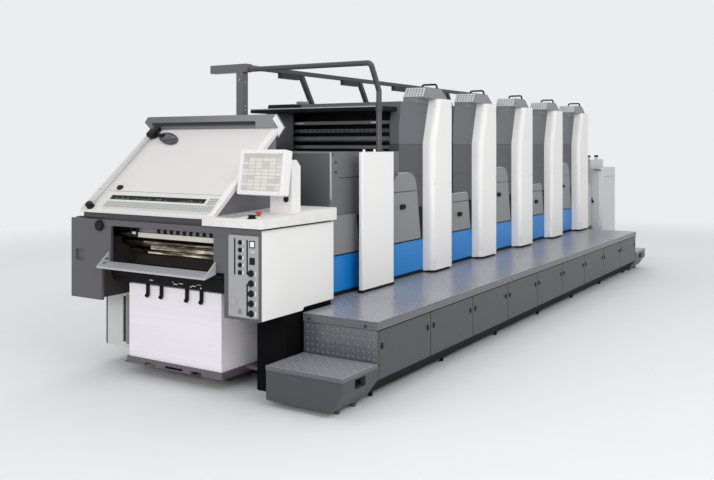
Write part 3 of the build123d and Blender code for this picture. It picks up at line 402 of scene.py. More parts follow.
class Finish(Nodes):
    """A material under construction, with a principled shader at its end."""

    def __init__(self, name, **values):
        self.material = bpy.data.materials.new(name)
        self.material.use_nodes = True
        super().__init__(self.material.node_tree)
        self.shader = self.tree.nodes["Principled BSDF"]
        for socket, value in values.items():
            self.set(self.shader, socket.replace("_", " "), value)
        self.place = self.add("ShaderNodeTexCoord", output="Object")

    def axes(self, place=None):
        """The x, y and z of a place as three values."""
        place = place or self.place
        return [self.add("ShaderNodeSeparateXYZ", None, {0: place}, output) for output in range(3)]

    def facing_up(self):
        """How far the surface faces up: the z of its normal."""
        return self.axes(self.add("ShaderNodeNewGeometry", output="Normal"))[2]

    def stretch(self, scale):
        """The surface coordinates scaled along each axis."""
        return self.add("ShaderNodeMapping", None, {"Vector": self.place, "Scale": scale})

    def noise(self, scale, detail, roughness=0.5, place=None):
        """Smooth noise from 0 to 1."""
        inputs = {"Vector": place or self.place, "Scale": scale, "Detail": detail, "Roughness": roughness}
        return self.add("ShaderNodeTexNoise", None, inputs)

    def mix(self, share, first, second):
        """Colour between first and second."""
        return self.add("ShaderNodeMix", {"data_type": "RGBA"}, {0: share, 6: first, 7: second}, output=2)

    def shades(self, share, colour, low, high):
        """Colour between two shades of one colour."""
        return self.mix(share, shade(colour, low), shade(colour, high))

    def bump(self, height, distance):
        """Sends a height, in shares of distance, to the shader's normal."""
        relief = self.add("ShaderNodeBump", None, {"Height": height, "Distance": distance})
        self.set(self.shader, "Normal", relief)

    def colour(self, value):
        """Base colour of the surface."""
        self.set(self.shader, "Base Color", value)

    def rough(self, value):
        """Roughness of the surface."""
        self.set(self.shader, "Roughness", value)

    def sprayed(self, rough):
        """Sprayed paint: slightly uneven gloss and a fine orange-peel bump."""
        self.rough(rough + (self.noise(31, 4) - 0.5) * 0.12)
        self.bump(self.noise(700, 1), 0.00012)


def shade(colour, factor):
    """A colour made lighter or darker by a factor."""
    return tuple(min(1.0, float(c) * factor) for c in colour)


def painted(name, colour, rough, coat=0.0, shine=0.5):
    """Sprayed sheet metal with a slow drift in tone."""
    finish = Finish(name, Coat_Weight=coat, Coat_Roughness=0.08, Specular_IOR_Level=shine)
    finish.colour(finish.shades(finish.noise(2.3, 3), colour, 0.965, 1.035))
    finish.sprayed(rough)
    return finish.material


def frame_paint(name, colour, lift):
    """Paint of the unit frames: lighter over a seam, dark lines at two seams, and painted shade that makes
    the plate hollow nearly black.
    """
    finish = Finish(name)
    x, y, level = finish.axes()
    tone = finish.noise(1.9, 3)
    low = finish.shades(tone, colour, 0.93, 1.07)
    high = finish.shades(tone, colour, lift * 0.95, lift * 1.05)
    upper_line, lower_line = (abs(level - seam).below(FRAME_SEAM_HALF) for seam in FRAME_SEAMS)
    line = upper_line + lower_line
    seamed = finish.mix(line, finish.mix(level.above(FRAME_SEAMS[0]), low, high), shade(colour, 0.35))
    # Painted shade: the plate hollow, found by its depth, width and levels, is coloured nearly black
    depth = (x - BODY_START) % UNIT_STEP
    within = level.above(OPENING_LEVELS[0]) * level.below(OPENING_LEVELS[1])
    hollow = depth.below(OPENING_DEPTH) * abs(y).below(OPENING_HALF_WIDTH) * within
    painted_hollow_shade = finish.shades(finish.noise(9, 3), colour, 0.05, 0.14)
    finish.colour(finish.mix(hollow, seamed, painted_hollow_shade))
    finish.rough(0.42 + (finish.noise(27, 4) - 0.5) * 0.14 + hollow * 0.35)
    finish.bump(finish.noise(650, 1) - line * 2, 0.00015)
    return finish.material


def tread_pattern(u, v, pitch=0.022):
    """Tread from 0 to 1: one lozenge in each square cell, turned the other way in the next."""
    cell_u = (u / pitch).floor()
    cell_v = (v / pitch).floor()
    turn = ((cell_u + cell_v) % 2) * 2 - 1
    across = u / pitch - cell_u - 0.5
    along = (v / pitch - cell_v - 0.5) * turn
    length, width = 0.84, 0.24
    return 1 - (abs(across + along) / length + abs(across - along) / width).ease(0.55, 1.0)


def deck_steel(name, colour, edge, rough):
    """Satin walkway plate: clouds of wear, fine rolling marks, uneven gloss, and painted shade that makes its
    upright edges darker.
    """
    finish = Finish(name, Specular_IOR_Level=0.7)
    marks = finish.noise(1, 4, 0.6, finish.stretch((14, 300, 300)))
    # Painted shade: faces that do not face up take the darker edge colour
    upright = finish.facing_up().below(0.5)
    ground = finish.shades(finish.noise(3.1, 4), colour, 0.9, 1.08)
    plate_colour = finish.mix(marks * 0.35, ground, shade(colour, 1.25))
    x, y, z = finish.axes()
    raised = tread_pattern(x + y, z) * upright
    upright_shade_colour = finish.mix(raised * 0.55, edge, shade(edge, 1.9))
    finish.colour(finish.mix(upright, plate_colour, upright_shade_colour))
    finish.rough(rough + (finish.noise(19, 4) - 0.5) * 0.12)
    finish.bump(marks * 0.1 + raised, 0.0008)
    return finish.material


def display_glass(name, dark, bright):
    """Dark strip display: a row of small lit bars of uneven height."""
    pitch, foot, tallest = 0.026, 1.138, 0.016
    finish = Finish(name, Specular_IOR_Level=0.15)
    _, y, z = finish.axes()
    column = (y / pitch).floor()
    within = y / pitch - column
    reach = finish.add("ShaderNodeTexWhiteNoise", {"noise_dimensions": "1D"}, {"W": column})
    lit = abs(within - 0.5).below(0.3) * (z - foot).below(reach * tallest)
    finish.colour(finish.mix(lit * 0.6, dark, bright))
    finish.rough(0.4 + finish.noise(22, 3) * 0.1)
    return finish.material


def screen_glass(name, pale, grey):
    """Lit screen: a heading bar over rows of pale tiles of uneven tone, with nothing written on it."""
    middle, level = (float(c) * MM for c in SCREEN_MIDDLE[1:])
    tile_width, tile_height = 0.052, 0.021
    heading_level, heading_half, field_half = 1.424, 0.009, 0.142
    finish = Finish(name, Emission_Strength=0.12, Coat_Weight=0.4, Coat_Roughness=0.1)
    _, y, z = finish.axes()
    across = (y - middle) / tile_width
    upward = (z - level) / tile_height
    column, row = across.floor(), upward.floor()
    tile = abs(across - column - 0.5).below(0.46) * abs(upward - row - 0.5).below(0.42)
    cell = finish.add("ShaderNodeCombineXYZ", None, {0: column, 1: row})
    tint = finish.add("ShaderNodeTexWhiteNoise", {"noise_dimensions": "3D"}, {"Vector": cell})
    tiles = finish.mix(tint.ease(0.45, 1.0) * 0.4, pale, grey)
    field = finish.mix(tile, shade(pale, 0.66), tiles)
    heading = finish.mix(abs(z - heading_level).below(heading_half), field, shade(pale, 0.72))
    picture = finish.mix(abs(y - middle).above(field_half), heading, shade(pale, 0.97))
    finish.colour(picture)
    finish.set(finish.shader, "Emission Color", picture)
    finish.rough(0.2 + finish.noise(15, 2) * 0.06)
    return finish.material


def hood_paint_with_painted_falloff(name, colour, near, far):
    """Lamp hood: satin grey with painted light, paler towards its operator end and darker towards the drive
    side.
    """
    finish = Finish(name)
    tone = finish.noise(2.3, 3) * 0.08 - 0.04
    # Painted light: the tone runs from pale at the operator end to dark at the drive side
    along = finish.axes()[1].ease(near, far)
    finish.colour(finish.shades(along + tone, colour, 1.12, 0.68))
    finish.sprayed(0.4)
    return finish.material


def bed_paint(name, colour, gap, end):
    """Press bed: satin grey below the walkway, black between the covers as painted shade in the gaps, pale at
    the feeder.
    """
    finish = Finish(name, Specular_IOR_Level=0.3)
    x, _, level = finish.axes()
    body = finish.shades(finish.noise(2.3, 3), colour, 0.94, 1.06)
    # Painted shade: above the walkway the bed shows only in the gaps between covers, which are coloured black
    above = level.above(WALK_LEVEL)
    upper = finish.mix(x.above(FEEDER_START), gap, shade(end, 0.9))
    finish.colour(finish.mix(above, body, upper))
    finish.sprayed(0.45 + above * 0.3)
    return finish.material


def glint_painted_bars(name, dark, bright, metal):
    """Oiled bars in shade, or a lens: dark metal with painted glints, bright warm patches that stand for
    where the light catches it.
    """
    finish = Finish(name, Metallic=metal)
    patches = finish.noise(1, 4, 0.6, finish.stretch((45, 7, 45)))
    grain = finish.noise(70, 3, 0.6, finish.stretch((1, 0.05, 1)))
    finish.colour(finish.mix(patches.ease(0.42, 0.74), dark, bright))
    finish.rough(0.34 + (grain - 0.5) * 0.2)
    finish.bump(grain, 0.00006)
    return finish.material


def shaded_slot(name, colour, low, high):
    """Hollow of the lamp hood: painted shade, dark and darker still towards its top."""
    finish = Finish(name)
    level = finish.axes()[2].ease(low, high)
    finish.colour(finish.shades(level + finish.noise(12, 3) * 0.15, colour, 1, 0.06))
    finish.rough(0.55 + finish.noise(60, 2) * 0.1)
    return finish.material


def brushed(name, colour, rough, grain):
    """Bare metal with fine grinding marks along one axis."""
    finish = Finish(name, Metallic=1.0)
    marks = finish.noise(60, 4, 0.6, finish.stretch(grain))
    finish.colour(finish.shades(marks, colour, 0.86, 1.1))
    finish.rough(rough + (marks - 0.5) * 0.16)
    finish.bump(marks, 0.00006)
    return finish.material


def plastic(name, colour, rough, shine=0.35):
    """Moulded plastic with a fine spark-eroded grain."""
    finish = Finish(name, Specular_IOR_Level=shine)
    grain = finish.noise(1500, 2)
    finish.colour(finish.shades(finish.noise(14, 3), colour, 0.9, 1.12))
    finish.rough(rough + (grain - 0.5) * 0.12)
    finish.bump(grain, 0.00008)
    return finish.material


def paper_stack(name, colour):
    """Cut paper: sheet edges show as thin level lines of uneven tone, the top is one plain sheet."""
    finish = Finish(name, Specular_IOR_Level=0.25)
    side = 1 - finish.facing_up().above(0.5)
    sheets = finish.noise(1, 3, 0.6, finish.stretch((1.5, 1.5, 900)))
    lifts = finish.noise(1, 2, 0.5, finish.stretch((0.8, 0.8, 42)))
    edge = finish.shades(sheets, colour, 0.9, 1.06)
    bundle = finish.mix((lifts - 0.42).ease(0.0, 0.2) * 0.5, shade(colour, 0.93), edge)
    finish.colour(finish.mix(side, colour, bundle))
    finish.rough(0.75 + (sheets - 0.5) * 0.1)
    finish.bump(sheets * side, 0.0003)
    return finish.material


def boarding(name, colour):
    """Laminated pile board: faint grain along the sheet and scuffed edges."""
    finish = Finish(name)
    grain = finish.noise(1, 5, 0.6, finish.stretch((9, 90, 300)))
    scuffs = finish.noise(38, 5, 0.7)
    base = finish.shades(grain, colour, 0.8, 1.2)
    finish.colour(finish.mix(scuffs.ease(0.58, 0.75) * 0.35, base, shade(colour, 2.0)))
    finish.rough(0.55 + (grain - 0.5) * 0.2)
    finish.bump(grain, 0.0003)
    return finish.material


def colour_property(name, description, *screen):
    """A colour setting whose default is given in screen values."""
    default = linear(*screen)
    return FloatVectorProperty(
        name=name, description=description, subtype="COLOR", default=default, min=0, max=1
    )


class PressPaint(bpy.types.PropertyGroup):
    """Colours of the press."""

    white: colour_property("White covers", "Gloss white of the tower covers and console", 233, 232, 231)
    desk: colour_property("Desk white", "Warm white of the light desk", 219, 216, 216)
    pale_grey: colour_property("Pale grey", "Control plate and console keys", 162, 162, 164)
    feeder_grey: colour_property("Feeder grey", "Feeder cabinets and head, vent grilles", 197, 197, 200)
    shelf_grey: colour_property("Shelf grey", "Delivery shelf and pale strips", 176, 179, 182)
    band_grey: colour_property("Band grey", "Leg cover and desk band", 206, 208, 207)
    guard_grey: colour_property("Guard grey", "Guards, caps and lamp hood", 127, 128, 131)
    bar_grey: colour_property("Bar grey", "Bars in the plate openings", 112, 113, 115)
    chain_grey: colour_property("Chain grey", "Chain housing", 100, 101, 105)
    panel_grey: colour_property("Panel grey", "Delivery front panel", 86, 85, 90)
    walkway_grey: colour_property("Walkway grey", "Platform sides and steps", 67, 68, 72)
    frame_grey: colour_property("Frame grey", "Unit frames below their seam", 68, 69, 73)
    deep_grey: colour_property("Deep grey", "Beams, bed and recessed panels", 62, 63, 67)
    inner_dark: colour_property("Inner dark", "Drive-side leg and back of the mouth", 58, 55, 52)
    black: colour_property("Black", "Knobs, latches, handles and hollows", 20, 20, 22)
    blue: colour_property("Base cover blue", "Covers along the foot of the units", 14, 127, 204)
    deck: colour_property("Deck", "Chequered walkway plate", 141, 143, 149)
    steel: colour_property("Steel", "Bare rods and screws", 200, 198, 194)
    comb: colour_property("Comb ivory", "Sheet comb in the delivery mouth", 202, 198, 186)
    paper: colour_property("Paper", "Sheets in both piles", 244, 241, 247)
    board: colour_property("Pile board", "Boards under both piles", 98, 92, 97)
    ink_key: colour_property("Ink keys", "Keys on the light desk", 160, 168, 165)
    red: colour_property("Stop red", "Stop button on the console", 205, 40, 40)


class PressSizes(bpy.types.PropertyGroup):
    """Sizes of small fittings, in millimetres."""

    lozenge_pitch: FloatProperty(
        name="Lozenge pitch", description="Distance between lozenges of the walkway plate", default=36, min=10
    )
    knob_radius: FloatProperty(
        name="Knob radius", description="Radius of the knobs on the control plate", default=18, min=5, max=20
    )
    handle_radius: FloatProperty(
        name="Handle radius", description="Radius of the bow handles on the caps", default=8, min=3, max=8
    )
    keys: IntProperty(name="Ink keys", description="Keys in each row on the light desk", default=36, min=2)


class PressStage(bpy.types.PropertyGroup):
    """Floor, light and camera."""

    floor: colour_property("Floor", "Colour of the plain floor", 236, 237, 238)
    sky: FloatProperty(
        name="Sky", description="Strength of the even studio light", default=0.72, min=0, max=2
    )
    key: FloatProperty(
        name="Key light", description="Power of the large lamp over the operator's side", default=206, min=0,
        subtype="POWER", unit="POWER",
    )
    lens: FloatProperty(
        name="Lens", description="Focal length of the camera on a 36 mm sensor", default=42.23, min=1,
        subtype="DISTANCE_CAMERA",
    )


class PressOperator:
    """Shared start of every dressing operator."""

    bl_options = {"REGISTER", "UNDO"}

    def execute(self, context):
        self.dress(context.scene)
        return {"FINISHED"}


# Dark and bright colours of finishes that go from one to the other; on the oiled bars, the gripper and the
# lens the bright colour is a painted glint
OILED_GLINTS = (linear(72, 64, 52), linear(206, 190, 156))
GRIPPER = (linear(92, 82, 62), linear(255, 247, 226))
LENS_GLINTS = (linear(60, 62, 62), linear(170, 172, 170))
DISPLAY = (linear(10, 15, 13), linear(96, 128, 112))
TILES = (linear(208, 207, 201), linear(132, 138, 140))
HOOD_SLOT_SHADE = linear(112, 113, 114)

# Finish of each CAD node, with the width of its rounded edges in millimetres
COATS = (
    ("white", 4, ["delivery_side_covers", "post_covers", "console_top", "monitor", "monitor_pedestal"]),
    ("white", 4, TOWERS),
    ("desk", 3, ["light_desk"]),
    ("shelf", 1.5, ["delivery_shelf"]),
    ("band", 1.5, ["leg_cover"]),
    ("pale", 1.5, ["control_panel"]),
    ("feeder", 4, ["feeder_cabinets", "feeder_head", "feeder_head_boxes"]),
    ("feeder", 0, ["cap_grilles"]),
    ("guard", 4, ["unit_guards", "unit_caps"]),
    ("hood", 4, ["desk_hood"]),
    ("unit", 3, BODIES),
    ("panel", 3, ["delivery_front_panel"]),
    ("chain", 3, ["chain_housing"]),
    ("walkway", 3, ["platform_panels"]),
    ("walkway", 2, ["platform_steps"]),
    ("deep", 3, ["delivery_roof", "feed_table", "overhead_beam", "beam_struts"]),
    ("toe", 3, ["platform_plinth", "unit_1_visor"]),
    ("bed", 3, ["press_bed"]),
    ("gantry", 3, ["gantry"]),
    ("pipe", 0, ["guard_pipe"]),
    ("dark", 3, ["delivery_frame_operator"]),
    ("inner", 3, ["delivery_frame_drive"]),
    ("black", 3, ["beam_lamps"]),
    ("toe", 2, ["sheet_stops"]),
    ("plastic", 0, ["cap_handles", "control_knobs", "scanner_head"]),
    ("desk", 1, ["ink_key_strip"]),
    ("deck", 2, ["platform_decks"]),
    ("blue", 4, ["base_covers"]),
    ("steel", 0, ["scanner_rail"]),
    ("bars", 0, ["plate_bars"]),
    ("oiled", 0, ["gripper_shafts"]),
    ("paper", 0, ["delivery_pile", "feed_pile"]),
    ("board", 2, ["pile_board", "feed_board"]),
)


class PRESS_OT_finishes(PressOperator, bpy.types.Operator):
    """Paints the CAD nodes and softens their edges"""

    bl_idname = "press.finishes"
    bl_label = "Paint the nodes"

    def dress(self, scene):
        paint = scene.press_paint
        # Half of black: painted shade in gaps, slots and hollows, and flat black for stripes and seams
        hollow = shade(paint.black, 0.5)
        finishes.update(
            white=painted("white_gloss", paint.white, 0.45, shine=0.16),
            desk=painted("desk_white", paint.desk, 0.42),
            pale=painted("pale_grey_satin", paint.pale_grey, 0.42),
            shelf=painted("shelf_grey_satin", paint.shelf_grey, 0.42),
            guard=painted("guard_grey_satin", paint.guard_grey, 0.4),
            panel=painted("panel_grey_satin", paint.panel_grey, 0.42),
            walkway=painted("walkway_grey_satin", paint.walkway_grey, 0.42),
            unit=frame_paint("unit_frame_grey", paint.frame_grey, 1.85),
            chain=painted("chain_grey_satin", paint.chain_grey, 0.42),
            deep=painted("deep_grey_satin", paint.deep_grey, 0.45),
            cheek=painted("cheek_grey_satin", shade(paint.panel_grey, 1.6), 0.5),
            black=painted("black_satin", paint.black, 0.45),
            dark=plastic("flat_black_and_hollow_shade", hollow, 0.8, 0.08),
            toe=plastic("toe_black", paint.black, 0.7, 0.15),
            inner=plastic("inner_dark", paint.inner_dark, 0.7, 0.15),
            hood=hood_paint_with_painted_falloff("hood_grey_painted_falloff", paint.guard_grey, -0.4, 0.7),
            pipe=painted("pipe_grey_satin", shade(paint.panel_grey, 0.7), 0.4),
            gantry=painted("gantry_grey_satin", shade(paint.panel_grey, 1.35), 0.4),
            feeder=painted("feeder_grey_satin", paint.feeder_grey, 0.4),
            band=painted("band_grey_satin", paint.band_grey, 0.4),
            blue=painted("base_blue_gloss", paint.blue, 0.34, coat=0.1, shine=0.3),
            deck=deck_steel("walkway_plate", paint.deck, shade(paint.walkway_grey, 1.7), 0.25),
            worn=deck_steel("worn_lozenges", paint.deck, shade(paint.walkway_grey, 2.9), 0.4),
            plastic=plastic("black_plastic", paint.black, 0.5, 0.2),
            white_plastic=plastic("white_plastic", paint.white, 0.4),
            ink_key=plastic("ink_key_grey", paint.ink_key, 0.5, 0.2),
            console=plastic("console_white", shade(paint.white, 0.9), 0.65, 0.1),
            red=plastic("red_plastic", paint.red, 0.35),
            steel=brushed("ground_steel", paint.steel, 0.25, (1, 0.05, 1)),
            comb=painted("comb_ivory", paint.comb, 0.35),
            oiled=glint_painted_bars("glint_painted_bars", *OILED_GLINTS, 1.0),
            gripper=glint_painted_bars("gripper_metal", *GRIPPER, 0.4),
            glass=glint_painted_bars("lens_glint_glass", *LENS_GLINTS, 1.0),
            bars=painted("plate_bar_grey", paint.bar_grey, 0.3),
            bed=bed_paint("bed_grey", paint.deep_grey, hollow, paint.feeder_grey),
            paper=paper_stack("cut_paper", paint.paper),
            board=boarding("pile_boarding", paint.board),
            display=display_glass("display_strip", *DISPLAY),
            screen=screen_glass("screen_tiles", *TILES),
            slot=shaded_slot("hood_slot", HOOD_SLOT_SHADE, 1.606, 1.634),
        )
        for finish, edge, names in COATS:
            for name in names:
                self.coat(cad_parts[name], finishes[finish], edge * MM)

    def coat(self, node, finish, edge):
        """Gives a CAD node a finish, and rounds its sharp edges so that they catch the light."""
        node.data.materials.clear()
        node.data.materials.append(finish)
        if edge:
            weld = node.modifiers.new("close_seams", "WELD")
            weld.merge_threshold = 0.00005
            rounding = node.modifiers.new("soft_edges", "BEVEL")
            rounding.width = edge
            rounding.segments = 2
            rounding.limit_method = "ANGLE"
            rounding.angle_limit = radians(40)
            rounding.harden_normals = True


def latch_oval():
    """Low oval latch plate: rounded rectangles that draw in towards the top."""
    return moulded(26, 37, 12.9, [(0, 0), (3, 0), (4.4, 1.2), (4.8, 3)], 4)


# Walkway: how its plates lap, corners of a lozenge at its own pitch, and levels of the fittings
DECK_LAP = 6
TREAD_THICKNESS = 25
TREAD_INSET = 8
FIELD_MARGIN = 12
LOZENGE = np.array([(13, 0), (5, 3.6), (-5, 3.6), (-13, 0), (-5, -3.6), (5, -3.6)])
LOZENGE_PITCH = 36
LOZENGE_SUNK = -0.4
DECK_LOZENGE = 1.1
RISER_LOZENGE = 1.4
RISER_FACE = 3
RISER_BACK = 6.3
PANEL_SEAMS = 10
LATCH_LEVEL = 325
LATCH_FROM_SEAM = 42
LATCH_FROM_END = 34
SLAB_GAP = 5
SLAB_BOLTS = np.array([(-830, 441), (-1228, 442)])
GRIP_LEVEL = 170
GRIP_INSET = 29.6


class PRESS_OT_walkway(PressOperator, bpy.types.Operator):
    """Lozenges of the walkway plate, riser plates, latches, and dark plates that paint the shade in the grip
    recesses of the platform
    """

    bl_idname = "press.walkway"
    bl_label = "Walkway fittings"

    def dress(self, scene):
        pitch = scene.press_sizes.lozenge_pitch
        low, high = box("platform_decks")
        panels_low, panels_high = box("platform_panels")
        step_low, step_high = box("platform_steps")
        cover_low, cover_high = box("delivery_side_covers")
        start = panels_low[0] - DECK_LAP
        end = panels_high[0] + DECK_LAP
        tread_top = step_high[2] + TREAD_THICKNESS
        tread_inner = step_high[1] - TREAD_INSET
        fields = (
            ((start, cover_high[0]), (low[1], cover_low[1]), high[2]),
            ((cover_high[0], end), (low[1], high[1]), high[2]),
            ((low[0], start), (low[1], tread_inner), tread_top),
            ((end, high[0]), (low[1], tread_inner), tread_top),
        )
        places = np.concatenate([self.field(*field, pitch) for field in fields])
        show("deck_lozenges", self.tread(places, TOP, pitch, DECK_LOZENGE), "worn")
        side = (low[1] + 7, tread_inner)
        level = (tread_top + 3, panels_high[2] - 2)
        sheets = ((start + RISER_FACE, start + RISER_BACK), (end - RISER_BACK, end - RISER_FACE))
        risers = joined(
            rounded_block((near, side[0], level[0]), (far, side[1], level[1]), 0.8) for near, far in sheets
        )
        show("riser_plates", risers, "deck")
        across, upward = pairs(*(np.arange(first + pitch / 2, last, pitch) for first, last in (side, level)))
        places = spots(start + RISER_FACE + 0.2, across, upward)
        show("riser_lozenges", self.tread(places, DELIVERY, pitch, RISER_LOZENGE), "worn")
        face = panels_low[1]
        seams = np.linspace(panels_low[0] + 20, panels_high[0] - 20, PANEL_SEAMS)
        beside = [seams[1:-1] - LATCH_FROM_SEAM, seams[1:-1] + LATCH_FROM_SEAM]
        latches = np.concatenate([*beside, seams[:1] + LATCH_FROM_END, seams[-1:] - LATCH_FROM_END])
        latch = latch_oval() + plate(5, 22, 5.8, 1.5, 0.6)
        show("platform_latches", latch.on(OPERATOR, latches, face, LATCH_LEVEL), "plastic")
        under = panels_high[2]
        # A dark strip in the gap under the slab paints its shadow
        gap = rounded_block((start + 4, face - SLAB_GAP, under - SLAB_GAP), (end - 4, face + 1, under), 0.5)
        show("slab_gap_shade", gap, "dark")
        show("slab_bolts", bolt(9, 5).on(DELIVERY, start, *SLAB_BOLTS.T), "black")
        middles = np.array([(step_low[0] + panels_low[0] - 5) / 2, (panels_high[0] + step_high[0] + 5) / 2])
        # Dark plates in the grip recesses paint the shade inside them
        grip_shades = plate(106, 48, 1.2, 3).on(OPERATOR, middles, face + GRIP_INSET, GRIP_LEVEL)
        show("step_grip_shades", grip_shades, "dark")

    def field(self, along, across, level, pitch):
        """Centres of square cells that fill a rectangle."""
        x = np.arange(along[0] + pitch / 2, along[1] - FIELD_MARGIN, pitch)
        y = np.arange(across[0] + LOZENGE_PITCH / 2, across[1] - FIELD_MARGIN, pitch)
        return spots(*pairs(x, y), level)

    def tread(self, places, side, pitch, height):
        """Six-cornered lozenges, each lofted from a wide foot to a narrow top, turned each way by turns."""
        foot = LOZENGE * pitch / LOZENGE_PITCH
        rings = ((foot, LOZENGE_SUNK), (foot * 0.6, height))
        lozenge = loft([level_ring(*ring) for ring in rings])
        axes = np.array(side)
        cells = np.floor((places @ axes.T) / pitch).astype(int).sum(axis=1) % 2
        turns = np.array([[0.7071, 0.7071], [-0.7071, 0.7071]])
        return joined(
            lozenge.facing(turn @ axes, np.array([-turn[1], turn[0]]) @ axes).at(places[cells == k])
            for k, turn in enumerate(turns)
        )


# Control plate: columns across it and rows up it
KNOB_COLUMN = -730
KNOB_ROWS = 532 + 57 * np.arange(5)
BUTTON_COLUMN = -648
BUTTON_ROWS = 760 + 43 * np.arange(5)
SQUARE_COLUMN = -736
# Knob in shares of its radius and millimetres of height
KNOB_PROFILE = ((1, 0), (1.06, 2), (1.06, 9), (0.92, 13), (0.72, 14), (0.68, 18), (0.4, 19.4))
# Stripes and the dark square: width, height, place across and level
PLATE_STRIPES = (
    (10, 209, -607, 849.5),
    (10, 197, -699, 850.5),
    (10, 185, -699, 607.5),
    (42, 42, SQUARE_COLUMN, 925),
)


class PRESS_OT_control_plate(PressOperator, bpy.types.Operator):
    """Knobs, buttons, stripes and blank labels of the control plate"""

    bl_idname = "press.control_plate"
    bl_label = "Control plate"

    def dress(self, scene):
        face = box("control_panel")[0][0]
        radius = scene.press_sizes.knob_radius
        knob = turned([(radius * share, height) for share, height in KNOB_PROFILE])
        pointer = rounded_block((-2, -radius * 0.6, 18.5), (2, radius * 0.6, 19.9), 0.6)
        button = turned([(14, 0), (14, 5), (12, 6), (10.5, 6.2), (10.5, 10), (8, 11)])
        black = (knob + pointer).on(DELIVERY, face, KNOB_COLUMN, KNOB_ROWS)
        black += button.on(DELIVERY, face, BUTTON_COLUMN, BUTTON_ROWS)
        black += plate(38, 40, 3, 3).on(DELIVERY, face, SQUARE_COLUMN, 830)
        piece = show("plate_knobs", black, "plastic")
        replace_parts(piece, "control_knobs")
        stripes = joined(
            plate(width, height, 0.8).on(DELIVERY, face, y, z) for width, height, y, z in PLATE_STRIPES
        )
        show("plate_stripes", stripes, "dark")
        labels = plate(9, 17, 0.7).on(DELIVERY, face, BUTTON_COLUMN - 20, BUTTON_ROWS)
        labels += plate(7, 26, 0.7).on(DELIVERY, face, KNOB_COLUMN - 31, KNOB_ROWS)
        labels += plate(30, 30, 1.6).on(DELIVERY, face, SQUARE_COLUMN, 925)
        show("plate_labels", labels, "white_plastic")
        disc = turned([(15, 0), (15, 3), (12, 5)]).on(DELIVERY, face, SQUARE_COLUMN, 879)
        show("plate_discs", disc, "steel")
        cover = turned([(30, 0), (30, 3), (27, 5), (8, 6)], 32).on(DELIVERY, face, -592, 588)
        cover += plate(30, 13, 1.2, 2).on(DELIVERY, face, -594, 655)
        show("plate_cover", cover, "pale")
        show("plate_window", plate(27, 27, 1.4, 2).on(DELIVERY, face, -645, 536), "guard")


# Delivery mouth: half its width, and the places of what hangs in it
MOUTH_HALF = 519
COMB_PLANE = -4240
COMB_ENDS = (-520, 226)
COMB_PITCH = 54
GRIPPER_LINE = -4180
RAIL_UNDER = 606
RAIL_HALF = 514
RAIL_LINKS = np.array([(158, 634), (-52, 626), (-98, 634), (-204, 628), (-246, 640)])
RAIL_HEADS = np.array([(128, 646), (-30, 640), (-180, 622), (-262, 620)])
FRONT_KNOB = (536, 968)
GUSSET_SLOTS = np.array([(-4318, 735), (-4300, 762)])
LEG_STRIP = (568, 309)


class PRESS_OT_delivery_mouth(PressOperator, bpy.types.Operator):
    """Backing, sheet comb, gripper bar, stop rail, knob and slots around the delivery mouth"""

    bl_idname = "press.delivery_mouth"
    bl_label = "Delivery mouth"

    def dress(self, scene):
        back = box("gripper_shafts")[1][0]
        # A dark sheet across the back of the mouth paints the shade deep inside it
        backing = rounded_block((back + 5, -MOUTH_HALF, 690), (back + 11, MOUTH_HALF, 986))
        show("mouth_shade_backing", backing, "inner")
        self.comb()
        line = GRIPPER_LINE
        gripper = rounded_block((line - 4, -MOUTH_HALF, 826), (line + 8, 178, 850), 5)
        for end, level, radius in ((236, 872, 7), (196, 806, 6)):
            gripper += bar([(line, end, level), (line, -MOUTH_HALF, level)], circle(radius), UP)
        show("gripper_bar", gripper, "gripper")
        stops_low, stops_high = box("sheet_stops")
        face = stops_low[0] + 6
        rail = rounded_block((face, -RAIL_HALF, RAIL_UNDER), (face + 20, RAIL_HALF, stops_high[2] + 2), 3)
        show("stop_rail", rail, "toe")
        fittings = plate(34, 6, 4, 2.5).on(DELIVERY, face, *RAIL_LINKS.T)
        fittings += bolt(6, 5).on(DELIVERY, face, *RAIL_HEADS.T)
        show("rail_fittings", fittings, "steel")
        wheel = turned([(30, 0), (36, 3), (37, 10), (34, 17), (22, 20), (20, 19), (8, 19)], 32)
        wheel = wheel.on(DELIVERY, box("delivery_front_panel")[0][0], *FRONT_KNOB)
        show("front_knob", wheel, "plastic")
        along, level = GUSSET_SLOTS.T
        # Dark plates where the gusset slots are paint the shade seen through them
        slots = plate(26, 8, 0.8, 3.9).on(OPERATOR, along, box("delivery_shelf")[1][1] - 10, level)
        show("gusset_slot_shades", slots, "dark")
        strip = plate(25, 336, 1.6, 2).on(DELIVERY, box("leg_cover")[0][0], *LEG_STRIP)
        show("leg_strip", strip, "guard")

    def comb(self):
        """Pale strip under a dark carrier, with a row of black teeth and two hangers."""
        x = COMB_PLANE
        near, far = COMB_ENDS
        strip = rounded_block((x - 6, near, 907), (x + 2, far, 938), 2)
        strip += rounded_block((x - 6, 238, 924), (x + 2, 282, 940), 2)
        show("comb_strip", strip, "comb")
        carrier = rounded_block((x + 4, near, 936), (x + 10, far, 978), 1)
        show("comb_carrier", carrier, "bars")
        tooth = rounded_block((-7, -9, -14), (6, 9, 12), 3)
        teeth = tooth.at(spots(x, np.arange(48, -421, -COMB_PITCH), 952))
        teeth += rounded_block((x - 9, far - 4, 908), (x + 9, far + 15, 992), 3)
        teeth += rounded_block((x - 9, 276, 914), (x + 9, 290, 992), 3)
        show("comb_teeth", teeth, "toe")


# Console: rise of its sloping top over its slab at the delivery edge and at the far edge
CONSOLE_NEAR_RISE = 15
CONSOLE_FAR_RISE = 41
# Places of its keys, buttons and knob
CONSOLE_KEYS = (-4262 + 36 * np.arange(5), -466 - 23 * np.arange(6))
CONSOLE_BUTTON = (-4245, -700)
STOP_BUTTON = (-4140, -664)
PEDESTAL_DEPTH = 92
PEDESTAL_KNOB = (-714, np.array([1160, 1182]))


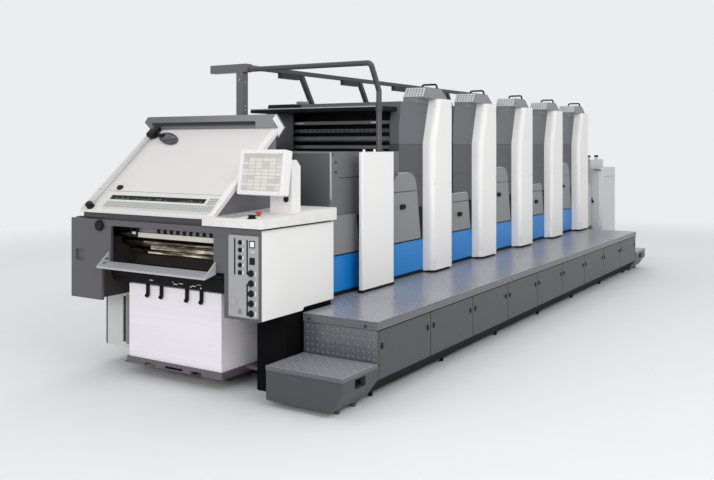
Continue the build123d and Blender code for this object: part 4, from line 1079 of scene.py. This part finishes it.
class PRESS_OT_console(PressOperator, bpy.types.Operator):
    """Sloping top, keys, stop button and pedestal knob of the console"""

    bl_idname = "press.console"
    bl_label = "Console"

    def dress(self, scene):
        piece = show("console_slope", self.slope(), "console")
        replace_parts(piece, "console_top")
        key = moulded(24, 16, 2.5, [(-1, 0), (4, 0), (5.5, 1.5)], 2)
        show("console_keys", key.at(self.on_top(*pairs(*CONSOLE_KEYS))), "pale")
        shank = turned([(26, -1), (26, 6), (20, 8), (20, 14), (24, 16), (24, 20), (18, 23)])
        show("console_button", shank.at(self.on_top(*CONSOLE_BUTTON)), "plastic")
        stop = turned([(10, -1), (10, 12), (19, 15), (21, 20), (19, 25), (12, 29), (4, 30)])
        show("stop_button", stop.at(self.on_top(*STOP_BUTTON)), "red")
        collar = turned([(18, -1), (18, 5), (14, 7)])
        show("stop_collar", collar.at(self.on_top(*STOP_BUTTON)), "steel")
        knob = turned([(15, 0), (16, 3), (16, 11), (12, 15), (5, 16)])
        lobes = knob.on(DELIVERY, box("monitor_pedestal")[1][0] - PEDESTAL_DEPTH, *PEDESTAL_KNOB)
        show("pedestal_knob", lobes, "plastic")

    def slope(self):
        """Slab with round corners whose height grows along it: z = h (1 + share of the length * growth)."""
        low, high = box("console_top")
        length, width, slab = high - low
        height = slab + CONSOLE_NEAR_RISE
        form = moulded(length, width, 10, [(0, 0), (height - 4, 0), (height - 1.2, 1.2), (height, 4)])
        share = form.points[:, 0] / length + 0.5
        form.points[:, 2] *= 1 + share * (CONSOLE_FAR_RISE - CONSOLE_NEAR_RISE) / height
        return form.at(spots((low[0] + high[0]) / 2, (low[1] + high[1]) / 2, low[2]))

    def on_top(self, x, y):
        """Places on the sloping top: it rises evenly from the delivery edge."""
        low, high = box("console_top")
        share = (x - low[0]) / (high[0] - low[0])
        return spots(x, y, high[2] + CONSOLE_NEAR_RISE + share * (CONSOLE_FAR_RISE - CONSOLE_NEAR_RISE))


# Light desk, measured up its slope and across it: ink keys, key pad, scanner and the top of the key strip
STRIP_TOP = 9.8
KEY_SPAN = (-396, 506)
KEY_GAP = 8
KEY_ROWS = 33 + 18 * np.arange(3)
KEY_LEVELS = ((0, 0), (2.6, 0), (3.4, 0.9))
PAD_ROWS = 93 + 20 * np.arange(3)
PAD_COLUMNS = -342 - 24 * np.arange(3)
RAIL_STOPS = (np.array([24, 806]), 634, 1.4)
SCANNER_HEAD = (716, 458, 0)
SCANNER_AXES = np.array([-NORTH * 98 - DESK_RISE * 11, DESK_RISE * 62 + NORTH * 46, np.cross(*DESK)])
DESK_EDGE = 46


class PRESS_OT_light_desk(PressOperator, bpy.types.Operator):
    """Ink keys, display, trims and scanner of the light desk"""

    bl_idname = "press.light_desk"
    bl_label = "Light desk"

    def dress(self, scene):
        count = scene.press_sizes.keys
        width = (KEY_SPAN[1] - KEY_SPAN[0]) / (count - 1) - KEY_GAP
        keys = moulded(width, 12.5, 1.5, KEY_LEVELS, 1)
        keys = keys.on_desk(*pairs(KEY_ROWS, np.linspace(*KEY_SPAN, count)), STRIP_TOP)
        keys += moulded(18, 13, 1.5, KEY_LEVELS, 1).on_desk(*pairs(PAD_ROWS, PAD_COLUMNS), STRIP_TOP)
        show("ink_keys", keys, "ink_key")
        display = plate(822, 38, 2, 2, 0.6).on_desk(114, 104, STRIP_TOP)
        show("ink_display", display, "display")
        seams = plate(1030, 3, 0.8).on_desk(182, 85) + plate(62, 3, 1.4).on_desk(190, 686, 0.8)
        show("desk_seams", seams, "guard")
        show("desk_edge", plate(44, 812, 2, 3, 0.8).on_desk(412, -412), "white")
        show("desk_band", plate(60, 812, 1.5, 2).on_desk(412, 688), "band")
        self.cheeks()
        stops = moulded(52, 44, 16, [(0, 0), (30, 0), (36, 6)], 4).on_desk(*RAIL_STOPS)
        stops += moulded(46, 36, 15, [(0, 0), (10, 0), (15, 5)], 4).on_desk(212, 518)
        show("rail_stops", stops, "plastic")
        self.scanner()

    def cheeks(self):
        """Sheets on both sides of the wedge that carries the desk: flat triangles under the board."""
        low, high = DESK_LOW, DESK_HIGH
        under = high[2] - DESK_EDGE
        toe = high[0] - (under - low[2]) * np.tan(pi / 2 - np.arctan2(DESK_RISE[2], DESK_RISE[0]))
        corners = [(toe + 8, low[2] + 2), (high[0] - 2, low[2] + 2), (high[0] - 2, under - 4)]
        near = prism(corners, 1.5).on(OPERATOR, 0, low[1] + 20, 0)
        far = prism([(-x, z) for x, z in corners[::-1]], 1.5).on(DRIVE, 0, high[1] - 20, 0)
        show("desk_cheeks", near + far, "cheek")

    def scanner(self):
        """Carriage on the rail, its arm, and an oval reading head beside it."""
        body = moulded(70, 74, 14, [(2, 0), (34, 0), (42, 6), (44, 14)], 4).on_desk(750, 626, 8)
        body += moulded(90, 22, 6, [(6, 0), (18, 0), (22, 4)], 3).on_desk(744, 566, 4)
        piece = show("desk_scanner", body, "plastic")
        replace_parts(piece, "scanner_head")
        dish = self.oval([(0.86, 1), (0.97, 3), (1, 9), (0.95, 14), (0.86, 16), (0.8, 13), (0.76, 13)])
        show("scanner_dish", dish, "deep")
        lens = self.oval([(0.76, 12), (0.76, 14), (0.64, 16), (0.24, 17)])
        # The lens takes painted glints
        show("scanner_lens", lens, "glass")

    def oval(self, profile):
        """Turned form with sheared circles: p = centre + r (cos a * across + sin a * along) + h * normal."""
        form = turned(profile, 40)
        return Form(form.points @ SCANNER_AXES, form.faces).at(desk_places(*SCANNER_HEAD))


# Front sheet of the lamp hood, the box behind it, and its return down the back of the desk
HOOD_SHEET = 14
HOOD_BOX_INSET = 147
HOOD_RETURN = 38
HOOD_SLOT = (226, 1625)
# Corners of the two pale sheets at its operator end
HOOD_END_UPPER = ((-485, 1600), (-440, 1602), (-394, 1660), (-421, 1688))
HOOD_END_LOWER = ((-441, 1541), (-430, 1590), (-440, 1602), (-485, 1600))


class PRESS_OT_lamp_hood(PressOperator, bpy.types.Operator):
    """Folded hood over the desk, its slot and its pale end"""

    bl_idname = "press.lamp_hood"
    bl_label = "Lamp hood"

    def dress(self, scene):
        low, high = box("desk_hood")
        face = low[0]
        near, far, level = DESK_LOW[1], DESK_HIGH[1], DESK_HIGH[2]
        point = (low[1], level)
        front = [point, (near + 14, high[2]), (far + 26, high[2]), (high[1], level + 52), (far, level)]
        tip = [point, (near, level), (near, low[2])]
        sheets = self.sheet(front, HOOD_SHEET) + self.sheet(tip, HOOD_SHEET)
        lamp_box = rounded_block(
            (face + HOOD_SHEET - 1, low[1] + HOOD_BOX_INSET, level - HOOD_RETURN),
            (high[0], high[1] - HOOD_BOX_INSET / 2, high[2] - 6),
            6,
        )
        shell = sheets.at(spots(face + HOOD_SHEET, 0, 0)) + lamp_box
        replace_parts(show("hood_shell", shell, "hood"), "desk_hood")
        # A thin dark plate with painted shade stands for the hollow slot in the hood
        show("hood_slot", plate(950, 44, 0.8, 4).on(DELIVERY, face, *HOOD_SLOT), "slot")
        end = joined(self.sheet(corners, 2.5) for corners in (HOOD_END_UPPER, HOOD_END_LOWER))
        show("hood_end", end.at(spots(face, 0, 0)), "white")

    def sheet(self, outline, thickness):
        """Flat sheet over an outline of (y, z) corners, facing the delivery end."""
        corners = np.array(outline) * (-1, 1)
        following = np.roll(corners, -1, axis=0)
        area = np.sum(corners[:, 0] * following[:, 1] - corners[:, 1] * following[:, 0])
        return prism(corners if area > 0 else corners[::-1], thickness).facing(*DELIVERY)


class PRESS_OT_screen(PressOperator, bpy.types.Operator):
    """Glass and lamp of the screen, which tilt with the monitor"""

    bl_idname = "press.screen"
    bl_label = "Screen"

    def dress(self, scene):
        upward = np.array([np.sin(SCREEN_LEAN), 0, np.cos(SCREEN_LEAN)])
        sunk = 4 * np.cross(-NORTH, upward)
        middle = SCREEN_MIDDLE - sunk
        glass = plate(296, 224, 2, 3, 0.6).facing(-NORTH, upward).at(middle)
        show("screen", glass, "screen", "monitor")
        lamp = turned([(3, 0), (3, 0.8), (1.5, 1.2)], 12).facing(-NORTH, upward)
        light = lamp.at(middle + sunk - 124.5 * upward - 140 * NORTH)
        show("screen_lamp", light, "plastic", "monitor")


# Loose top sheets of the pile: how far each is shifted, and its turn in radians
LOOSE_SHEETS = ((3, 0.0), (7, 0.003), (2, -0.002), (6, 0.004), (4, -0.003))
SHEET_STEP = 0.9
BOARD_SLOT = (-12, 92)
GLIDE_LINES = np.array([-430, -145, 145, 430])


class PRESS_OT_pile(PressOperator, bpy.types.Operator):
    """Loose top sheets, hand slot and glides, which travel with the delivery pile"""

    bl_idname = "press.pile"
    bl_label = "Delivery pile"

    def dress(self, scene):
        low, high = box("delivery_pile")
        board_low, board_high = box("pile_board")
        length, width = (high - low)[:2]
        x, y = ((low + high) / 2)[:2]
        sheet = plate(length - 16, width - 12, 0.7, 0.4, 0.1, 1)
        sheets = joined(
            sheet.facing((np.cos(turn), np.sin(turn), 0), (-np.sin(turn), np.cos(turn), 0)).at(
                spots(x + shift, y + shift - 4, high[2] + SHEET_STEP * level)
            )
            for level, (shift, turn) in enumerate(LOOSE_SHEETS)
        )
        show("top_sheets", sheets, "paper", "pile_lift")
        # A dark plate where the hand slot is paints the shade inside it
        slot = plate(150, 14, 0.8, 6.9).on(DELIVERY, board_low[0], *BOARD_SLOT)
        show("board_slot_shade", slot, "dark", "pile_lift")
        glide = moulded(board_high[0] - board_low[0] - 40, 42, 3, [(-4, 2), (-3, 0), (0.2, 0)], 2)
        glides = glide.at(spots((board_low[0] + board_high[0]) / 2, GLIDE_LINES, board_low[2]))
        show("board_glides", glides, "black", "pile_lift")


# Plate openings: depth, levels and lines of what shows in each, and corners of its flap
CLAMP_DEPTH = 62
CLAMP_LINES = np.linspace(-525, 525, 24)
CLAMP_LEVEL = 1601.5
MARK_LINES = np.array([-403, 340])
MARK_LEVEL = 1666
FLAP_CORNERS = ((-4, 352, 1439), (9, 563, 1764))
VISOR_BOX_SIDES = (177, 439)
VISOR_EDGE_HALF = 612


class PRESS_OT_plate_clamps(PressOperator, bpy.types.Operator):
    """Clamps, white marks and end flaps of the plate openings, and the box and edge of the visor"""

    bl_idname = "press.plate_clamps"
    bl_label = "Plate openings"

    def dress(self, scene):
        starts = BODY_STARTS + CLAMP_DEPTH
        clamp = rounded_block((-13, -14, -9), (0.5, 14, 9), 2, 1)
        clamps = clamp.at(spots(*pairs(starts, CLAMP_LINES), CLAMP_LEVEL))
        show("plate_clamps", clamps, "walkway")
        marks = plate(90, 11, 1.5, 2).on(DELIVERY, *pairs(starts, MARK_LINES), MARK_LEVEL)
        show("plate_marks", marks, "white_plastic")
        flaps = rounded_block(*FLAP_CORNERS, 3).at(spots(BODY_STARTS, 0, 0))
        show("opening_flaps", flaps, "deep")
        low, high = box("unit_1_visor")
        face, top = low[0], high[2]
        near, far = VISOR_BOX_SIDES
        case = rounded_block((face + 8, near, top - 1), (face + 108, far, top + 32), 5)
        show("visor_box", case, "plastic")
        half = VISOR_EDGE_HALF
        edge = rounded_block((face - 1.5, -half, top - 7), (face + 6, half, top + 1.5), 2)
        show("visor_edge", edge, "shelf")


# Screws of the towers, and dark strips that paint the shade in the gap under them
SCREW_INSET = 16
SCREW_LEVELS = np.array([560, 1180, 1795])
GAP_STRIP_LAP = 3


class PRESS_OT_tower_screws(PressOperator, bpy.types.Operator):
    """Screws along the edges of the white tower covers, and dark strips that paint the shade in the gap under
    the towers and post covers
    """

    bl_idname = "press.tower_screws"
    bl_label = "Tower screws and feet"

    def dress(self, scene):
        low, high = box(TOWERS[0])
        post_low, post_high = box("post_covers")
        face = low[1]
        deck = box("platform_decks")[1][2]
        gap = low[2] - deck
        # Painted shade: dark strips fill the gap between the deck and the covers
        gap_strip_levels = [(0.2, 0), (gap + 4, 0), (gap + 5, 1)]
        tower_gap_strip = moulded(high[0] - low[0] + GAP_STRIP_LAP, 100, 46, gap_strip_levels)
        gap_shade_strips = tower_gap_strip.at(spots(UNIT_CENTRES, face + 48.5, deck))
        post_gap_strip = moulded(post_high[0] - post_low[0] + GAP_STRIP_LAP, 40, 3, gap_strip_levels)
        gap_shade_strips += post_gap_strip.at(spots((post_low[0] + post_high[0]) / 2, face + 18.5, deck))
        show("tower_gap_shade", gap_shade_strips.both(), "toe")
        x, z = pairs(np.concatenate([TOWER_STARTS + SCREW_INSET, TOWER_ENDS - SCREW_INSET]), SCREW_LEVELS)
        show("tower_screws", bolt(5, 3).on(OPERATOR, x, face, z).both(), "steel")


# Guards are tall and low by turns: place and level of the latch, end and level of the pale strip that paints
# the highlight along the shoulder
TALL = np.arange(5) % 2 == 0
GUARD_LATCH = (np.where(TALL, 362, 291), np.where(TALL, 1016, 890))
GUARD_STRIP = (np.where(TALL, 276, 157), np.where(TALL, 1276, 1075))
STRIP_START = 200


class PRESS_OT_guard_latches(PressOperator, bpy.types.Operator):
    """Two-lobed latches of the unit guards, and pale strips that paint the highlight on their shoulders"""

    bl_idname = "press.guard_latches"
    bl_label = "Guard latches"

    def dress(self, scene):
        face = box("unit_guards")[0][1]
        base = moulded(70, 40, 12, [(0, 0), (5, 0), (7, 2)], 4)
        lobe = turned([(15, 6), (16, 8), (16, 15), (12, 19), (5, 20)], 20)
        latch = base + lobe.at([(-17, 0, 0), (17, 0, 0)])
        before, level = GUARD_LATCH
        latches = latch.on(OPERATOR, TOWER_STARTS - before, face, level)
        show("guard_latches", latches.both(), "plastic")
        starts = np.concatenate([[box("post_covers")[1][0]], TOWER_ENDS[:-1]]) + STRIP_START
        before, levels = GUARD_STRIP
        # Pale strips paint the highlight along the top of each guard
        strips = joined(
            rounded_block((start, face - 2, level - 5), (end, face + 12, level + 2.5), 2)
            for start, end, level in zip(starts, TOWER_STARTS - before, levels)
        )
        show("guard_shoulder_highlights", strips.both(), "shelf")


# Caps: foot of their slope, its rise, the grille bars' places up it, and the handle's place
CAP_START = 262
CAP_LEVEL = 1860
CAP_SLOPE = directions(np.array([50, 0, 85.0]))
GRILLE_BARS = np.array([34, 49.3, 64.6])
HANDLE_BACK = 10
HANDLE_BEND = 20


class PRESS_OT_caps(PressOperator, bpy.types.Operator):
    """Round bow handles of the caps over the units, and bars across their vent grilles"""

    bl_idname = "press.caps"
    bl_label = "Unit caps"

    def dress(self, scene):
        self.cross_bars()
        low, high = box("cap_handles")
        radius = scene.press_sizes.handle_radius
        near, far = low[1] + radius, high[1] - radius
        foot, top = low[2] - 2, high[2] - radius
        path = bent_path([(0, near, foot), (0, near, top), (0, far, top), (0, far, foot)], HANDLE_BEND)
        bow = bar(path, circle(radius, 12), EAST)
        bow += turned([(14, -1), (14, 4), (10, 6)], 16).at(spots(0, np.array([near, far]), low[2]))
        bows = bow.at(spots(UNIT_CENTRES - HANDLE_BACK, 0, 0))
        piece = show("bow_handles", bows, "plastic")
        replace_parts(piece, "cap_handles")

    def cross_bars(self):
        """Thin bars across the slots of the vent grilles: level rods up the slope of the caps."""
        low, high = box("cap_grilles")
        rod = moulded(high[1] - low[1] - 8, 6, 1, [(1, 0), (6.4, 0), (7, 0.6)], 1)
        share, x = pairs(GRILLE_BARS, UNIT_CENTRES - CAP_START)
        places = share[:, None] * CAP_SLOPE + spots(x, (low[1] + high[1]) / 2, CAP_LEVEL)
        show("grille_bars", rod.facing(-NORTH, CAP_SLOPE).at(places), "feeder")


# Chain housing: foot of its corner strips, which paint the highlight on its corners, its bolts, its seam, and
# the tabs over the post covers
CORNER_HIGHLIGHT_FOOT = 1122
HOUSING_BOLTS = np.array([(22.5, 1424), (63.5, 1372), (63.5, 1305)])
HOUSING_SEAM = 1263
HOUSING_SEAM_END = -2986
POST_TABS = np.array([-3087, -2946])
# Proud of the sheet, sunk in it, and height of a seam line
SEAM_PROUD = 0.8
SEAM_SUNK = 2
SEAM_HEIGHT = 4


class PRESS_OT_chain_housing(PressOperator, bpy.types.Operator):
    """Pale corner strips that paint the highlight on the chain housing, its bolts and seams, and tabs of the
    post covers
    """

    bl_idname = "press.chain_housing"
    bl_label = "Chain housing"

    def dress(self, scene):
        low, high = box("chain_housing")
        x, y = low[:2]
        # Painted highlight along the front corners
        strip = rounded_block((x - 3, y - 3, CORNER_HIGHLIGHT_FOOT), (x + 10, y + 6, high[2] - 2), 2)
        show("housing_corner_highlights", strip.both(), "shelf")
        along, level = HOUSING_BOLTS.T
        bolts = bolt(8, 6).on(OPERATOR, x + along, y, level)
        show("housing_bolts", bolts.both(), "black")
        seam = seam_line(x + 104, HOUSING_SEAM_END, y, HOUSING_SEAM)
        show("housing_seams", seam.both(), "dark")
        posts_low, posts_high = box("post_covers")
        tab = moulded(26, 22, 5, [(0, 0), (4, 0), (5, 1)], 3)
        tabs = tab.on(OPERATOR, POST_TABS, posts_low[1] + 6, posts_high[2] + 8)
        show("post_tabs", tabs.both(), "white")


def seam_line(start, end, face, level):
    """Level strip that stands a little out of a face on the operator's side."""
    low = (start, face - SEAM_PROUD, level)
    return rounded_block(low, (end, face + SEAM_SUNK, level + SEAM_HEIGHT), 0.4)


# Drive side of the bed: count, level, height and thickness of its cover plates
BED_PANELS = 9
BED_PANEL_LEVEL = 250
BED_PANEL_HEIGHT = 380
BED_PANEL_THICKNESS = 5
BED_MARGIN = 30


class PRESS_OT_bed_panels(PressOperator, bpy.types.Operator):
    """Cover plates along the drive side of the bed, with their latches"""

    bl_idname = "press.bed_panels"
    bl_label = "Bed panels"

    def dress(self, scene):
        low, high = box("press_bed")
        step = (high[0] - low[0] - 2 * BED_MARGIN) / BED_PANELS
        middles = low[0] + BED_MARGIN + step * (np.arange(BED_PANELS) + 0.5)
        panel = plate(step - 7, BED_PANEL_HEIGHT, BED_PANEL_THICKNESS, 6, 1.5)
        show("bed_panels", panel.on(DRIVE, middles, high[1], BED_PANEL_LEVEL), "walkway")
        x, side = pairs(middles, np.array([-1, 1]))
        places = (x + side * (step / 2 - LATCH_FROM_SEAM), high[1] + BED_PANEL_THICKNESS, LATCH_LEVEL)
        show("bed_latches", latch_oval().on(DRIVE, *places), "plastic")


# Overhead beam: the guard pipe's line, levels of gantry bolts, and the strut brackets' sizes round a unit
PIPE_RADIUS = 20
PIPE_LINE = -690
COUPLING = ((20, 1730), (25, 1733), (25, 1786), (20, 1789))
FLANGE = ((34, 1440), (34, 1447), (27, 1450), (25, 1462), (20.5, 1464))
GANTRY_SIDE = 420
GANTRY_SIDE_BOLTS = np.array([1970, 1790, 1753, 1500])
GANTRY_FRONT_LINE = 452
GANTRY_FRONT_BOLTS = np.array([1475, 1990])
BRACKET_BASE = ((-215, -32, -1), (-40, 32, 11))
BRACKET_CASE = ((-335, -27, -1), (-220, 27, 36))
BRACKET_SCREWS = ((-80, -20, 11), (-80, 20, 11), (-200, -20, 11), (-200, 20, 11))


class PRESS_OT_overhead(PressOperator, bpy.types.Operator):
    """Pipe couplings, gantry bolts, strut brackets and strut links of the overhead beam"""

    bl_idname = "press.overhead"
    bl_label = "Overhead beam"

    def dress(self, scene):
        foot = (box("guard_pipe")[1][0] - PIPE_RADIUS, PIPE_LINE, 0)
        show("pipe_couplings", (turned(COUPLING) + turned(FLANGE)).at(foot), "deep")
        low, high = box("gantry")
        head = bolt(7, 4)
        bolts = head.on(OPERATOR, (low[0] + high[0]) / 2, GANTRY_SIDE, GANTRY_SIDE_BOLTS)
        bolts += head.on(DELIVERY, low[0], GANTRY_FRONT_LINE, GANTRY_FRONT_BOLTS)
        show("gantry_bolts", bolts, "steel")
        low, high = box("overhead_beam")
        struts = spots(UNIT_CENTRES, (low[1] + high[1]) / 2, box(BODIES[0])[1][2])
        bracket = rounded_block(*BRACKET_BASE, 2) + rounded_block(*BRACKET_CASE, 4)
        show("strut_brackets", bracket.at(struts), "guard")
        rod = bar([(-225, 0, 26), (-172, 0, 62)], circle(5, 10), NORTH)
        show("strut_links", (rod + bolt(8, 8).at(BRACKET_SCREWS)).at(struts), "steel")


# Feeder: places of its latch, knobs, handle, highlight strips, seam, lock and suckers
FEEDER_LATCH = (-641, 782)
HEAD_KNOBS = np.array([62, 402])
HEAD_BOX_INNER = -540
FEEDER_HANDLE = (-720, 1172)
FEEDER_HIGHLIGHT_LEVELS = (480, 1140)
FEEDER_SEAM = 1081
FEEDER_LOCK = (3035, 1033)
SUCKER_LINES = np.array([-320, -110, 110, 320])


class PRESS_OT_feeder(PressOperator, bpy.types.Operator):
    """Latch, handle, knob caps, trims, lock and suckers of the feeder; white strips on its corners paint
    their highlight
    """

    bl_idname = "press.feeder"
    bl_label = "Feeder"

    def dress(self, scene):
        low, high = box("feeder_cabinets")
        x, y = low[:2]
        show("feeder_knobs", self.latch(x) + self.knobs(x) + self.handle(x), "plastic")
        foot, top = FEEDER_HIGHLIGHT_LEVELS
        # White strips paint the highlight on the rounded corners
        strip = rounded_block((x - 3, y + 34, foot), (x + 3, y + 44, top), 1.5)
        other = strip.mirrored().at(spots(0, low[1] + high[1], 0))
        show("feeder_corner_highlights", strip + other, "white")
        show("feeder_seam", seam_line(x + 42, high[0] - 10, y, FEEDER_SEAM), "deep")
        lock = turned([(10, 0), (10, 3), (8, 4), (5, 4), (4, 2.5)])
        place, level = FEEDER_LOCK
        show("feeder_lock", lock.on(OPERATOR, place, y, level), "steel")
        head_low = box("feeder_head")[0]
        cup = turned([(18, -62), (19, -58), (12, -46), (8, -40), (8, 1)], 20)
        cups = cup.at(spots(head_low[0] + 60, SUCKER_LINES, head_low[2]))
        show("feeder_suckers", cups, "plastic")

    def latch(self, face):
        """Three-lobed star knob: turned lobes at equal angles round a turned hub."""
        angle = pi / 2 + np.arange(3) * 2 * pi / 3
        lobe = turned([(15, 6), (16, 9), (16, 20), (11, 24), (4, 25)], 20)
        star = lobe.at(spots(21 * np.cos(angle), 21 * np.sin(angle), 0))
        star += turned([(20, 0), (20, 8), (16, 22), (6, 24)])
        return star.on(DELIVERY, face, *FEEDER_LATCH)

    def knobs(self, face):
        """Turned caps over the knobs on the upper box."""
        low, high = box("feeder_head_boxes")
        cap = turned([(22, -26), (25, -23), (25, -4), (20, -0.4), (6, 0)])
        return cap.at(spots(face + HEAD_KNOBS, (low[1] + HEAD_BOX_INNER) / 2, high[2] + 0.4))

    def handle(self, face):
        """Bow handle: a round bar along a path with two round corners."""
        path = bent_path([(0, -42, 0), (-22, -42, 0), (-22, 42, 0), (0, 42, 0)], 12)
        return bar(path, circle(6, 12), UP).at(spots(face + 1, *FEEDER_HANDLE))


# Stage, in metres: the floor, where it fades into the backdrop, and the camera
FLOOR_RADIUS = 400
FLOOR_SIDES = 96
FLOOR_LEVEL = -0.0005
FLOOR_FADE = (5.5, 9.5)
CAMERA_PLACE = (-7.9866, -3.7678, 1.4933)
CAMERA_HEADING = radians(-57.8)
CAMERA_SHIFT = -0.134
CAMERA_SENSOR = 36
CAMERA_REACH = 2000
# Lamps: name, place, target, width, share of the key's power, and spread in degrees
LAMPS = (
    ("key_lamp", (-4.5, -7.5, 6.0), (-0.5, 0.0, 0.7), 7.0, 1.0, 180),
    ("end_lamp", (-12.0, -3.4, 3.4), (-1.0, -0.7, 1.1), 5.0, 1.05, 180),
    ("top_lamp", (0.5, 3.0, 7.0), (0.0, 0.0, 1.0), 6.0, 0.35, 180),
    ("row_lamp", (-6.2, -2.2, 1.3), (0.6, -0.7, 1.2), 1.2, 0.0068, 22),
)
LAMP_DEPTH = 0.6


class PRESS_OT_stage(PressOperator, bpy.types.Operator):
    """Lays the floor and sets up the studio light and the camera"""

    bl_idname = "press.stage"
    bl_label = "Floor, light and camera"

    def dress(self, scene):
        stage = scene.press_stage
        self.lay_floor(scene, stage)
        self.light_room(scene, stage)
        self.hang_lamps(scene, stage)
        self.set_camera(scene, stage)

    def lay_floor(self, scene, stage):
        """Flat disc of floor whose far part fades into the even backdrop."""
        finish = Finish("studio_floor", Roughness=0.85)
        x, y, _ = finish.axes()
        distance = (x * x + y * y).root()
        finish.colour(finish.shades(finish.noise(4, 3), stage.floor, 0.985, 1.015))
        glow = finish.add("ShaderNodeEmission", None, {"Color": stage.floor})
        near = Value(finish, finish.shader.outputs[0])
        blend = finish.add("ShaderNodeMixShader", None, {0: distance.ease(*FLOOR_FADE), 1: near, 2: glow})
        finish.set(finish.tree.nodes["Material Output"], "Surface", blend)
        rim = level_ring(circle(FLOOR_RADIUS, FLOOR_SIDES), FLOOR_LEVEL)
        mesh = bpy.data.meshes.new("floor")
        mesh.from_pydata(rim.tolist(), [], [list(range(FLOOR_SIDES))])
        mesh.materials.append(finish.material)
        floor = bpy.data.objects.new("floor", mesh)
        scene.collection.objects.link(floor)

    def light_room(self, scene, stage):
        """Even white light all round, which the camera and reflections see in the floor's colour."""
        scene.world = bpy.data.worlds.new("studio")
        scene.world.use_nodes = True
        room = Nodes(scene.world.node_tree)
        light = room.add("ShaderNodeBackground", None, {"Color": (1, 1, 1), "Strength": stage.sky})
        seen = room.add("ShaderNodeBackground", None, {"Color": stage.floor})
        rays = ("Is Camera Ray", "Is Glossy Ray", "Is Transmission Ray")
        camera, glossy, through = (room.add("ShaderNodeLightPath", output=ray) for ray in rays)
        shown = camera.larger(glossy).larger(through)
        blend = room.add("ShaderNodeMixShader", None, {0: shown, 1: light, 2: seen})
        room.set(room.tree.nodes["World Output"], "Surface", blend)

    def hang_lamps(self, scene, stage):
        """Large soft lamps over the operator's side, the end and the top, and a faint narrow one."""
        for name, place, target, width, share, spread in LAMPS:
            lamp = bpy.data.lights.new(name, "AREA")
            lamp.shape = "RECTANGLE"
            lamp.size = width
            lamp.size_y = width * LAMP_DEPTH
            lamp.energy = stage.key * share
            lamp.spread = radians(spread)
            holder = bpy.data.objects.new(name, lamp)
            aim = np.array(target) - np.array(place)
            heading = atan2(aim[1], aim[0])
            pitch = atan2(aim[2], np.hypot(aim[0], aim[1]))
            holder.location = place
            holder.rotation_euler = (pi / 2 + pitch, 0, heading - pi / 2)
            scene.collection.objects.link(holder)

    def set_camera(self, scene, stage):
        """Level camera beyond the delivery's operator side, shifted down as a view camera is."""
        lens = bpy.data.cameras.new("camera")
        lens.lens = stage.lens
        lens.sensor_width = CAMERA_SENSOR
        lens.shift_y = CAMERA_SHIFT
        lens.clip_end = CAMERA_REACH
        camera = bpy.data.objects.new("camera", lens)
        camera.location = CAMERA_PLACE
        camera.rotation_euler = (pi / 2, 0, CAMERA_HEADING)
        scene.collection.objects.link(camera)
        bpy.context.scene.camera = camera
        bpy.context.scene.view_settings.view_transform = "Standard"


class PRESS_PT_dressing(bpy.types.Panel):
    """Lists the dressing steps and the settings"""

    bl_idname = "PRESS_PT_dressing"
    bl_label = "Offset press"
    bl_space_type = "VIEW_3D"
    bl_region_type = "UI"
    bl_category = "Press"

    def draw(self, context):
        for step in STEPS:
            self.layout.operator(step.bl_idname)
        for group in (context.scene.press_paint, context.scene.press_sizes, context.scene.press_stage):
            for name in group.__annotations__:
                self.layout.prop(group, name)


# Every operator, in the order in which they stand above
STEPS = tuple(PressOperator.__subclasses__())
CLASSES = (PressPaint, PressSizes, PressStage, *STEPS, PRESS_PT_dressing)


def register():
    """Adds the classes and the groups of settings."""
    for part in CLASSES:
        bpy.utils.register_class(part)
    bpy.types.Scene.press_paint = PointerProperty(type=PressPaint)
    bpy.types.Scene.press_sizes = PointerProperty(type=PressSizes)
    bpy.types.Scene.press_stage = PointerProperty(type=PressStage)


def unregister():
    """Takes them away again."""
    del bpy.types.Scene.press_stage
    del bpy.types.Scene.press_sizes
    del bpy.types.Scene.press_paint
    for part in reversed(CLASSES):
        bpy.utils.unregister_class(part)


def main():
    """Runs every step in order."""
    register()
    for step in STEPS:
        group, name = step.bl_idname.split(".")
        getattr(getattr(bpy.ops, group), name)()


if __name__ == "__main__":
    main()
